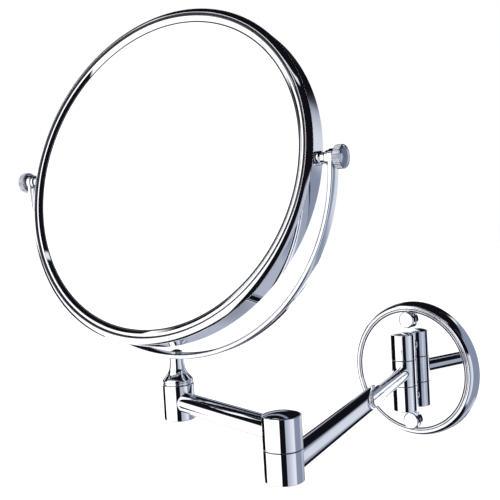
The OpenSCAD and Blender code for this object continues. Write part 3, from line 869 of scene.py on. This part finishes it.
# %% Rod and tube
low, high, rod_radius = span("slide_rod", ARM)
slide_rod = turned("slide_rod_polished", hollow(rod_radius, rod_radius - 1.1, low, high, 0.2), ARM, ring=True)
hand_over(slide_rod, "inner_arm", "chrome", "slide_rod")

low, high, tube_radius = span("outer_tube", ARM)
tube_bore = tube_radius - 0.5
tube_outline = rounded([(tube_bore, low + 2, 0), (tube_bore, low + 0.05, 0.1), (tube_radius - 0.18, low, 0.1),
                        (tube_radius, low + 0.35, 0.2), (tube_radius, high, 0.1), (tube_bore, high, 0.1),
                        (tube_bore, low + 2.5, 0)])
outer_tube = turned("outer_tube_drawn", tube_outline, ARM, ring=True)
hand_over(outer_tube, "outer_arm", "chrome", "outer_tube")

low, high, bush_radius = span("mouth_bush", ARM)
mouth_bush = turned("mouth_bush_moulded", hollow(bush_radius - 0.01, rod_radius + 0.06, low, high, 0.1),
                    ARM, 64, True)
hand_over(mouth_bush, "outer_arm", "washer_rubber", "mouth_bush")
print("rod", round(2 * rod_radius, 1), "mm, tube", round(2 * tube_radius, 1), "mm")

# %% [markdown]
# ## The elbow
# Two halves of one barrel turn on each other. The lower belongs to the arm, the upper to the
# forearm, and a low dome closes the top. The cap and the upper half are separate pieces that meet
# in a fine line at the rim.

# %% Elbow
low, high, elbow_radius = span("elbow_lower", ELBOW)
elbow_lower = turned("elbow_lower_turned", billet(elbow_radius, low, high, 0.35, 0.15), ELBOW)
hand_over(elbow_lower, "outer_arm", "chrome", "elbow_lower")

low, elbow_rim, _ = span("elbow_upper", ELBOW)
elbow_upper = turned("elbow_upper_turned", billet(elbow_radius, low, elbow_rim, 0.15, 0.12), ELBOW)
hand_over(elbow_upper, "forearm", "chrome", "elbow_upper")

_, cap_top, cap_radius = span("elbow_cap", ELBOW)
cap_outline = domed(cap_radius, elbow_rim - 1.0, cap_top, cap_top - elbow_rim - 0.05, 0.1)
elbow_cap = turned("elbow_cap_domed", cap_outline, ELBOW)
hand_over(elbow_cap, "forearm", "chrome", "elbow_cap")

low, high, washer_radius = span("elbow_washer", ELBOW)
elbow_washer = turned("elbow_washer_cut", hollow(washer_radius, PIN_BORE, low, high, 0.1), ELBOW, 64, True)
hand_over(elbow_washer, "outer_arm", "washer_rubber", "elbow_washer")
print("elbow", round(2 * elbow_radius, 1), "mm across")

# %% [markdown]
# ## The forearm and the stem's holder
# The forearm is a fixed tube between the elbow and an upright holder. The stem swivels in the
# holder on a bright turned ring, which shows as a thin light line under the stem's foot.

# %% Forearm and holder
low, high, forearm_radius = span("forearm_tube", FOREARM)
forearm_outline = hollow(forearm_radius, forearm_radius - 1.0, low, high, 0.2)
forearm = turned("forearm_tube_drawn", forearm_outline, FOREARM, ring=True)
hand_over(forearm, "forearm", "chrome", "forearm_tube")

low, high, holder_radius = span("stem_holder", HOLDER)
SCREW_WELL, WELL_DEPTH = 6.0, 3.0        # mm, the well from below that hides the stem's screw
stem_holder = turned("stem_holder_turned", rounded([
    (0, low + WELL_DEPTH, 0), (SCREW_WELL, low + WELL_DEPTH, 0.1), (SCREW_WELL, low, 0.2),
    (holder_radius, low, 0.5), (holder_radius, high, 0.5), (0, high, 0)]), HOLDER)
hand_over(stem_holder, "forearm", "chrome", "stem_holder")

low, high, ring_radius = span("swivel_ring", HOLDER)
swivel_ring = turned("swivel_ring_bright", hollow(ring_radius, 4.05, low, high, 0.45), HOLDER, ring=True)
hand_over(swivel_ring, "forearm", "bearing_ring", "swivel_ring")
print("holder", round(2 * holder_radius, 1), "mm across")

# %% [markdown]
# ## The stem
# The stem flares like a trumpet: full at the foot, then slimmer and slimmer up to a straight neck.
# A cosine of a dying exponential gives that line in one formula, round at the shoulder and straight
# at the neck, with no kink for the reflections to catch on.

# %% Stem
NECK_RADIUS, FLARE = 4.1, 5.0        # mm, the neck and how fast the flare dies out
FLARE_STEPS = 48
foot_radius = span("stem", HOLDER)[2]
foot_height = span("swivel_ring", HOLDER)[1] + 0.05
flare_start = foot_height + 0.35
neck_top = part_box("yoke")[0].z / MM + 0.6


def flare(rise):
    """The stem's radius at a rise above the start of the flare."""
    wave = 1 + math.cos(math.pi * (1 - math.exp(-rise / FLARE)))
    return NECK_RADIUS + (foot_radius - NECK_RADIUS) * wave / 2


rises = [(neck_top - flare_start) * (i / FLARE_STEPS) ** 1.5 for i in range(1, FLARE_STEPS + 1)]
foot = rounded([(0, foot_height, 0), (foot_radius, foot_height, 0.25), (foot_radius, foot_height + 0.6, 0)])
trumpet = [Vector((flare(rise), flare_start + rise)) for rise in rises]
stem_outline = foot[:-1] + trumpet + [Vector((0, neck_top))]
stem = turned("stem_flared", stem_outline, HOLDER)
hand_over(stem, "yoke_frame", "chrome", "stem")
print("stem from", round(foot_height, 1), "to", round(neck_top, 1), "mm")

# %% Screw and washer under the holder


def cross_slots(length, width, low, high):
    """Two slabs at right angles, for a cross recess."""
    return slab(length, width, low, high), slab(width, length, low, high)


CROSS = (3.4, 0.8)                       # mm, length and width of the slots
low, high, radius = span("stem_washer", HOLDER)
stem_washer = turned("stem_washer_plated", hollow(radius, 2.05, low, high, 0.15), HOLDER, 64, True)
hand_over(stem_washer, "yoke_frame", "steel", "stem_washer")

low, high, radius = span("stem_screw", HOLDER)
pan = lathe(bmesh.new(), rounded([
    (0, low, 0), (radius - 0.6, low, 0.3), (radius, low + 1.6, 0.1), (2.0, low + 1.6, 0.05), (2.0, high, 0.3),
    (0, high, 0)]), 48)
stem_screw = recessed("stem_screw_cross", pan, HOLDER, *cross_slots(*CROSS, low - 1, low + 0.9))
hand_over(stem_screw, "yoke_frame", "steel", "stem_screw")
print("stem screw and washer made")

# %% [markdown]
# ## The yoke
# The strap comes from the sweep tree. Its ends are round eyes a little wider than the strap, made
# on the lathe about the tilt axis and handed to the tree, which joins them on.

# %% Yoke
yoke_low, yoke_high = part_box("yoke")
strap_outer = (tilt_point.z - yoke_low.z) / MM
STRAP, STRAP_WIDTH = 3.0, 8.0            # mm, thickness and width
strap_inner, strap_middle = strap_outer - STRAP, strap_outer - STRAP / 2
eye_radius = (yoke_high.z - tilt_point.z) / MM
eye_outline = billet(eye_radius, strap_inner, strap_outer, 0.45, 0.45)
eyes = bmesh.new()
for way in (1, -1):
    add_to(eyes, lathe(bmesh.new(), eye_outline, 64), Matrix.Rotation(way * math.pi / 2, 4, "Y"))
yoke = grown(mesh_object("yoke_strap", eyes, FLAT_FRAME), hoop_tree, {
    "Radius": strap_middle, "Width": STRAP_WIDTH, "Thickness": STRAP, "Corner": 1.1, "Steps": 200,
    "Finish": CHROME}, HOOP)
hand_over(crisp(yoke, 50), "yoke_frame", "chrome", "yoke")
print("yoke", round(2 * strap_outer, 1), "mm across,", len(yoke.data.polygons), "faces")

# %% Yoke screw
low, high, radius = span("yoke_screw", HOLDER)
button = lathe(bmesh.new(), domed(radius, high - 2.2, high, 1.0, 0.1), 64)
yoke_screw = recessed("yoke_screw_button", button, HOLDER, *cross_slots(*CROSS, high - 0.8, high + 1))
hand_over(yoke_screw, "yoke_frame", "steel", "yoke_screw")
print("yoke screw", round(2 * radius, 1), "mm across")

# %% [markdown]
# ## The mirror head
# A plain band holds two bezels, one on each side. From the glass outwards, each bezel has a slope up
# to a small round bead, a groove painted black as painted shade, and a broad shoulder that falls to
# the band. Those curves throw thin bright and dark circles round the glass by reflection, and the
# painted groove adds a dark circle of its own, so their outlines have plenty of points.

# %% Rim band and bezels
BEAD_STEPS = 24
SPIN = 224
_, band_half, band_radius = span("rim_band", DISC)
band_bore = band_radius - 1.8
edge_height = band_half - 0.9            # where the bezel's shoulder meets the band
rim_band = turned("rim_band_rolled", hollow(band_radius, band_bore, -edge_height, edge_height, 0.12),
                  DISC, SPIN, True)
hand_over(rim_band, "mirror_head", "chrome", "rim_band")

_, glass_face, glass_radius = span("plain_glass", DISC)
shown_radius = glass_radius - 1.7
bead_top = (shown_radius + 2.3, glass_face + 1.9)
BEAD_INSIDE, BEAD_OUTSIDE, INSIDE_LEAN = 1.0, 1.7, 46    # mm, mm and degrees
groove_inner, groove_outer, groove_floor = shown_radius + 3.55, shown_radius + 4.5, glass_face + 0.6
CREST, STEEP, SHALLOW = 0.3, 53, 20      # mm, the shoulder's inner edge, and degrees at its two ends
shoulder_edge = band_radius - 0.1
steep_sine, shallow_sine = math.sin(math.radians(STEEP)), math.sin(math.radians(SHALLOW))
shoulder_radius = (shoulder_edge - groove_outer - CREST * shallow_sine) / (steep_sine - shallow_sine)
shoulder = (shoulder_edge - shoulder_radius * steep_sine,
            edge_height - shoulder_radius * math.cos(math.radians(STEEP)))
crest_height = shoulder[1] + (shoulder_radius - CREST) * math.cos(math.radians(SHALLOW)) - 0.02
LIP = glass_face + 0.02
BEHIND = glass_face - 2.2
bezel_outline = (
    [Vector((band_bore - 0.6, BEHIND)), Vector((band_bore - 0.6, edge_height)),
     Vector((shoulder_edge, edge_height))]
    + arc(*shoulder, shoulder_radius, 90 - STEEP, 90 - SHALLOW, BEAD_STEPS)
    + arc(groove_outer, crest_height, CREST, 90 - SHALLOW, 170, 6)
    + [Vector((groove_outer - CREST, groove_floor)), Vector((groove_inner, groove_floor))]
    + arc(bead_top[0], bead_top[1] - BEAD_OUTSIDE, BEAD_OUTSIDE, 40, 90, BEAD_STEPS // 2)
    + arc(bead_top[0], bead_top[1] - BEAD_INSIDE, BEAD_INSIDE, 92, 90 + INSIDE_LEAN, BEAD_STEPS // 2)
    + [Vector((shown_radius + 0.12, glass_face + 0.12)), Vector((shown_radius, LIP)),
       Vector((glass_radius, LIP)), Vector((glass_radius, BEHIND))])
front_bezel = turned("front_bezel_beaded", bezel_outline, DISC, SPIN, True)
rear_bezel = turned("rear_bezel_beaded", bezel_outline, DISC_BACK, SPIN, True)
# On both bezels the groove between the bead and the shoulder is painted black: this is painted shade.
for bezel, where in ((front_bezel, DISC), (rear_bezel, DISC_BACK)):
    dark_lines(bezel, CHROME, where, [(groove_inner - 0.01, groove_outer)], glass_face + 0.1)
hand_over(front_bezel, "mirror_head", "chrome", "front_bezel")
hand_over(rear_bezel, "mirror_head", "chrome", "rear_bezel")
print("rim", round(2 * band_radius, 1), "mm across, glass shows", round(2 * shown_radius, 1), "mm")

# %% [markdown]
# ## The two glasses
# The front glass is flat with a fine ground edge. The rear one is dished, so it magnifies. A dish
# this shallow is a parabola for all one can see, and its outline is one formula.

# %% Glasses
GLASS_THICK, DISH = 3.0, 1.4
GROUND = 0.25            # mm, the ground edge of the front glass
BLACK_EDGE = 0.80              # mm, how far the black ring at the front glass's edge reaches inside the bezel's lip
glass_back = [Vector((0, glass_face - GLASS_THICK)), Vector((glass_radius, glass_face - GLASS_THICK))]
plain_glass = turned("plain_glass_silvered", glass_back + [
    Vector((glass_radius, glass_face - GROUND)), Vector((shown_radius + 0.6, glass_face - 0.02)),
    Vector((shown_radius - BLACK_EDGE, glass_face)), Vector((shown_radius * 0.6, glass_face)),
    Vector((0, glass_face))], DISC, SPIN)
dark_lines(plain_glass, PLAIN_MIRROR, DISC, [(shown_radius - BLACK_EDGE, math.inf)])
hand_over(plain_glass, "mirror_head", "plain_mirror", "plain_glass")

DISH_STEPS = 32
dish = [Vector((shown_radius * i / DISH_STEPS, glass_face - DISH * (1 - (i / DISH_STEPS) ** 2)))
        for i in range(DISH_STEPS, -1, -1)]
magnifying_glass = turned("magnifying_glass_dished", glass_back + [Vector((glass_radius, glass_face))] + dish,
                          DISC_BACK, SPIN)
hand_over(magnifying_glass, "mirror_head", "magnifying_mirror", "magnifying_glass")
print("glasses", round(2 * glass_radius, 1), "mm across")

# %% [markdown]
# ## The pivots
# On each side a spool keeps the yoke off the rim, and a knurled knob clamps it from outside. The
# knob is a lathe body with a domed face, and the knurl is the rib tree: one rib with bevelled ends,
# thirty-six times round.

# %% Spools
FLANGE_RADIUS, WAIST_RADIUS, STUD_BORE = 3.9, 3.1, 2.5   # mm
spool_start, spool_end = band_radius + 0.06, strap_inner - 0.05
spool_outline = rounded([
    (STUD_BORE, spool_start, 0), (FLANGE_RADIUS, spool_start, 0.25), (FLANGE_RADIUS, spool_start + 1.6, 0.3),
    (WAIST_RADIUS, spool_start + 2.5, 0.5), (WAIST_RADIUS, spool_end - 2.5, 0.5),
    (FLANGE_RADIUS, spool_end - 1.6, 0.3), (FLANGE_RADIUS, spool_end, 0.25), (STUD_BORE, spool_end, 0)])
spools = bmesh.new()
for where in PIVOTS.values():
    add_to(spools, lathe(bmesh.new(), spool_outline, 64, ring=True), where @ Matrix.Scale(MM, 4))
spool_spacers = mesh_object("spool_spacers_turned", spools, FLAT_FRAME)
hand_over(spool_spacers, "mirror_head", "chrome", "spool_spacers")
print("spools", round(spool_end - spool_start, 2), "mm long")

# %% Knobs
TEETH, RIB, KNURL_DEPTH = 36, 0.52, 0.28     # count, half width and depth in mm
FACE_RISE, HUB_RADIUS, HUB = 1.8, 4.6, 0.8   # mm, the domed face and the plain hub by the yoke
knob_start, knob_end, knob_radius = span("right_knob", PIVOTS["right"])
knurl_start, knurl_end = knob_start + HUB - 0.05, knob_end - FACE_RISE


def rib():
    """One rib of the knurl on the +X side: a ridge with a flat crest and bevelled ends."""
    bm = bmesh.new()
    root = knob_radius - KNURL_DEPTH - 0.1
    rows = [(knurl_start + 0.15, root), (knurl_start + 0.55, knob_radius),
            (knurl_end - 0.55, knob_radius), (knurl_end - 0.2, root)]
    crest = RIB * 0.28
    loops = [[bm.verts.new((root, -RIB, z)), bm.verts.new((top, -crest, z)),
              bm.verts.new((top, crest, z)), bm.verts.new((root, RIB, z))] for z, top in rows]
    for one, two in zip(loops, loops[1:]):
        for i in range(4):
            j = (i + 1) % 4
            bm.faces.new((one[i], one[j], two[j], two[i]))
    bmesh.ops.remove_doubles(bm, verts=bm.verts, dist=1e-4)
    return bm


def knob(name, where):
    """A knob about a pivot's axis: lathe body, then the ring of ribs joined to it."""
    body_radius = knob_radius - KNURL_DEPTH
    core = domed(body_radius, knurl_start, knob_end, FACE_RISE, 0.4)
    hub = hollow(HUB_RADIUS, 2.6, knob_start, knurl_start + 0.3, 0.1)
    bm = lathe(lathe(bmesh.new(), core, 96), hub, 64, ring=True)
    ribs = grown(mesh_object("ribs", rib(), FLAT_FRAME), ribs_tree, {"Count": TEETH, "Finish": KNURLED})
    bm.from_mesh(ribs.data)
    bpy.data.objects.remove(ribs)
    return crisp(mesh_object(name, bm, where), 28)


for side in ("left", "right"):
    made = knob(side + "_knob_knurled", PIVOTS[side])
    hand_over(made, side + "_knob", "knob_chrome", side + "_knob")
    print(made.name, len(made.data.polygons), "faces")

# %% [markdown]
# ## What stays as the mechanical model has it
# Pins, springs, nuts and bushes sit inside. Their shape is right already, so they keep it and only
# get a finish, by the slot the record gives each of them.

# %% Inner parts
slot_of = {part["node"]: part["material_slot"] for part in frame["record"]["subparts"]}
replaced = {node for piece in bpy.data.objects for node in piece.get("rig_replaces", [])}
for name, node in frame["nodes"].items():
    if name not in replaced:
        node.data.materials.clear()
        node.data.materials.append(FINISHES[slot_of[name]])
print("kept as they are:", sorted(set(frame["nodes"]) - replaced))

# %% [markdown]
# ## The studio
# Chrome shows the room. A white room alone would make the chrome vanish, so this one is white in
# front and to the left, with black cards above, below and to the right, and greys and blues round
# the back. Each card is a range of bearings round the object and of heights, in degrees.

# %% World helpers
world = bpy.data.worlds.new("studio")
bpy.context.scene.world = world
world.use_nodes = True
sky = world.node_tree
sky.nodes.clear()
toward = node_in(sky, "ShaderNodeTexCoord", take="Generated")
axes = node_in(sky, "ShaderNodeSeparateXYZ", {0: toward}).node.outputs
ahead = node_in(sky, "ShaderNodeMath", {0: axes["Y"], 1: -1.0}, operation="MULTIPLY")
# The bearing is 0 straight out of the wall and grows towards the right.
bearing = node_in(sky, "ShaderNodeMath", {0: axes["X"], 1: ahead}, operation="ARCTAN2")
elevation = node_in(sky, "ShaderNodeMath", {0: axes["Z"]}, operation="ARCSINE")


def inside(source, low, high, soft):
    """1 where an angle is between low and high degrees, falling off over soft degrees at each end."""
    up = remap(sky, source, math.radians(low - soft / 2), math.radians(low + soft / 2))
    down = remap(sky, source, math.radians(high - soft / 2), math.radians(high + soft / 2), 1.0, 0.0)
    return node_in(sky, "ShaderNodeMath", {0: up, 1: down}, operation="MULTIPLY")


def round_from(centre):
    """The bearing measured from a centre line, so that a card may lie across the seam at the back."""
    moved = node_in(sky, "ShaderNodeMath", {0: bearing, 1: math.radians(centre)}, operation="SUBTRACT")
    return node_in(sky, "ShaderNodeMath", {0: moved, 1: math.pi, 2: -math.pi}, operation="WRAP")


def panel(below, tone, bearings, heights, soft, soft_height, fade_to=None):
    """Lays a card over what is there: a tone, or a run between two tones along the bearing."""
    centre = (bearings[0] + bearings[1]) / 2
    half = (bearings[1] - bearings[0]) / 2
    across = round_from(centre)
    mask = node_in(sky, "ShaderNodeMath", {
        0: inside(across, -half, half, soft), 1: inside(elevation, *heights, soft_height)},
        operation="MULTIPLY")
    card = (*tone, 1.0)
    if fade_to is not None:
        share = remap(sky, across, -math.radians(half), math.radians(half))
        card = node_in(sky, "ShaderNodeMix", {"A": card, "B": (*fade_to, 1.0), "Factor": share},
                       "Result", data_type="RGBA")
    return node_in(sky, "ShaderNodeMix", {"A": below, "B": card, "Factor": mask},
                   "Result", data_type="RGBA")


# %% Cards
WHITE, BLACK = (1.45, 1.45, 1.47), (0.006, 0.006, 0.009)
LIGHT_BLUE, HAZE_BLUE = (0.92, 0.95, 1.03), (0.76, 0.79, 0.87)
MIST_BLUE, STEEL_BLUE = (0.48, 0.52, 0.62), (0.28, 0.32, 0.42)
ALL_ROUND = (-180, 181)
CARDS = [    # tone, bearings, heights, softness of the sides and of the top and bottom, tone it runs to
    (MIST_BLUE, (55, 112), (-52, 24), 3.0, 6.0, LIGHT_BLUE),      # right
    (STEEL_BLUE, (112, 164), (-52, 36), 8.0, 6.0),                # right rear
    (STEEL_BLUE, (160, 238), (-30, 30), 8.0, 6.0, MIST_BLUE),     # rear
    (MIST_BLUE, (160, 238), (-52, -30), 8.0, 6.0),
    (HAZE_BLUE, (162, 186), (-17, 15), 6.0, 12.0),
    (BLACK, (196, 217), (-8, 20), 5.0, 6.0),
    (BLACK, (184, 216), (-31, -19), 6.0, 6.0),
    (BLACK, (24, 56), (-52, 60), 3.0, 6.0),                       # right front, from floor to ceiling
    (BLACK, (20, 112), (21, 60), 6.0, 6.0),                       # canopy, from the right round to the left
    (BLACK, (52, 112), (15, 60), 4.0, 6.0),
    (BLACK, (112, 182), (34, 60), 8.0, 6.0),
    (BLACK, (178, 290), (17, 62), 8.0, 6.0),
    (BLACK, (270, 299), (9, 44), 3.0, 6.0),
    (BLACK, ALL_ROUND, (50, 91), 0.1, 4.0),                       # ceiling
    (WHITE, (-92, -60), (44, 51), 2.0, 6.0),                      # a gap between canopy and ceiling
    (BLACK, ALL_ROUND, (-91, -50), 0.1, 8.0),                     # floor
    (LIGHT_BLUE, (-70, 70), (61, 65), 12.0, 2.0),                 # a strip light in the ceiling
]
room = node_in(sky, "ShaderNodeRGB")
room.default_value = (*WHITE, 1.0)
for card in CARDS:
    room = panel(room, *card)
print("studio cards laid:", len(CARDS))

# %% What the camera sees of it
ray = node_in(sky, "ShaderNodeLightPath").node.outputs
plain = node_in(sky, "ShaderNodeMath", {0: ray["Is Camera Ray"], 1: ray["Is Diffuse Ray"]},
                operation="MAXIMUM")
seen = node_in(sky, "ShaderNodeMix", {"A": room, "B": (1.0, 1.0, 1.0, 1.0), "Factor": plain},
               "Result", data_type="RGBA")
glow = node_in(sky, "ShaderNodeBackground", {"Color": seen})
node_in(sky, "ShaderNodeOutputWorld", {"Surface": glow})
bpy.context.scene.view_settings.view_transform = "Standard"
print("plain white to the camera and to whatever is not polished")

# %% [markdown]
# ## Floor
# A wide pale floor well below the arm. It hardly darkens under the mirror, as in a bright studio,
# and it is kept out of the reflections, which the studio's cards own.

# %% Floor
FLOOR_HEIGHT, FLOOR_REACH = -0.32, 6.0
paper = bmesh.new()
bmesh.ops.create_grid(paper, x_segments=8, y_segments=8, size=FLOOR_REACH / MM)
floor = mesh_object("floor", paper, Matrix.Translation((0, 0, FLOOR_HEIGHT)))
paper_white = bpy.data.materials.new("pale_paper")
paper_white.use_nodes = True
fill(paper_white.node_tree, paper_white.node_tree.nodes["Principled BSDF"], {
    "Base Color": (0.86, 0.86, 0.865, 1.0), "Roughness": 0.9,
    "Emission Color": (1.0, 1.0, 1.0, 1.0), "Emission Strength": 0.35})
floor.data.materials.append(paper_white)
floor.visible_glossy = False
print("floor at", FLOOR_HEIGHT, "m")

# %% [markdown]
# ## A low black flag
# A card stands to the left, low down. The barrels and the wall flange see it from close by and get
# their dark left edges from it, while the mirror looks over its top. It shows in reflections only.

# %% Black flag
FLAG_X, FLAG_Y, FLAG_Z = -0.40, (-0.34, 0.40), (-0.18, 0.11)     # m, where the card stands
flag_mesh = bmesh.new()
flag_corners = [(FLAG_X, FLAG_Y[i], FLAG_Z[j]) for i, j in ((0, 0), (1, 0), (1, 1), (0, 1))]
flag_mesh.faces.new([flag_mesh.verts.new(Vector(corner) / MM) for corner in flag_corners])
flag = mesh_object("black_flag", flag_mesh, Matrix.Identity(4))
flag_black = bpy.data.materials.new("flag_cloth")
flag_black.use_nodes = True
fill(flag_black.node_tree, flag_black.node_tree.nodes["Principled BSDF"], {
    "Base Color": (0.004, 0.004, 0.005, 1.0), "Roughness": 1.0, "Specular IOR Level": 0.0})
flag.data.materials.append(flag_black)
flag.visible_camera = flag.visible_diffuse = flag.visible_shadow = False
print("flag", len(flag.data.polygons), "card")

# %% [markdown]
# ## Key light
# The room gives nearly all the light. One weak, broad lamp from the upper left lets the few dull
# pieces keep a lit side and a shaded side.

# %% Key light
lamp = bpy.data.lights.new("soft_key", "AREA")
lamp.energy, lamp.size = 4.0, 1.6        # W and m
key = bpy.data.objects.new("soft_key", lamp)
key.matrix_world = place((-0.9, -1.5, 1.6), (-0.9, -1.3, 1.6))
key.visible_glossy = False
bpy.context.scene.collection.objects.link(key)
print("key light:", lamp.energy, "W")

# %% [markdown]
# ## Camera
# The camera stands in front and to the right, a little below the glass, and turns left to the mirror.
# The heading and the pitch are its direction, the roll is a slight tilt of the picture.

# %% Camera
HEADING, PITCH, ROLL = -0.720, -0.056, -0.056        # radians; a heading of 0 looks straight at the wall
SENSOR, LENS = 36.0, 60.876                          # mm
camera_point = Vector((0.3319, -0.5674, 0.1337))
forward = Vector((math.sin(HEADING) * math.cos(PITCH), math.cos(HEADING) * math.cos(PITCH), math.sin(PITCH)))
level = Vector((math.cos(HEADING), -math.sin(HEADING), 0))
upright = level.cross(forward)
right = level * math.cos(ROLL) + upright * math.sin(ROLL)
above = upright * math.cos(ROLL) - level * math.sin(ROLL)
lens = bpy.data.cameras.new("camera")
lens.sensor_width, lens.lens = SENSOR, LENS
camera = bpy.data.objects.new("camera", lens)
turn = Matrix((right, above, -forward)).transposed().to_4x4()
camera.matrix_world = Matrix.Translation(camera_point) @ turn
bpy.context.scene.collection.objects.link(camera)
bpy.context.scene.camera = camera
print("lens", round(lens.lens, 1), "mm")
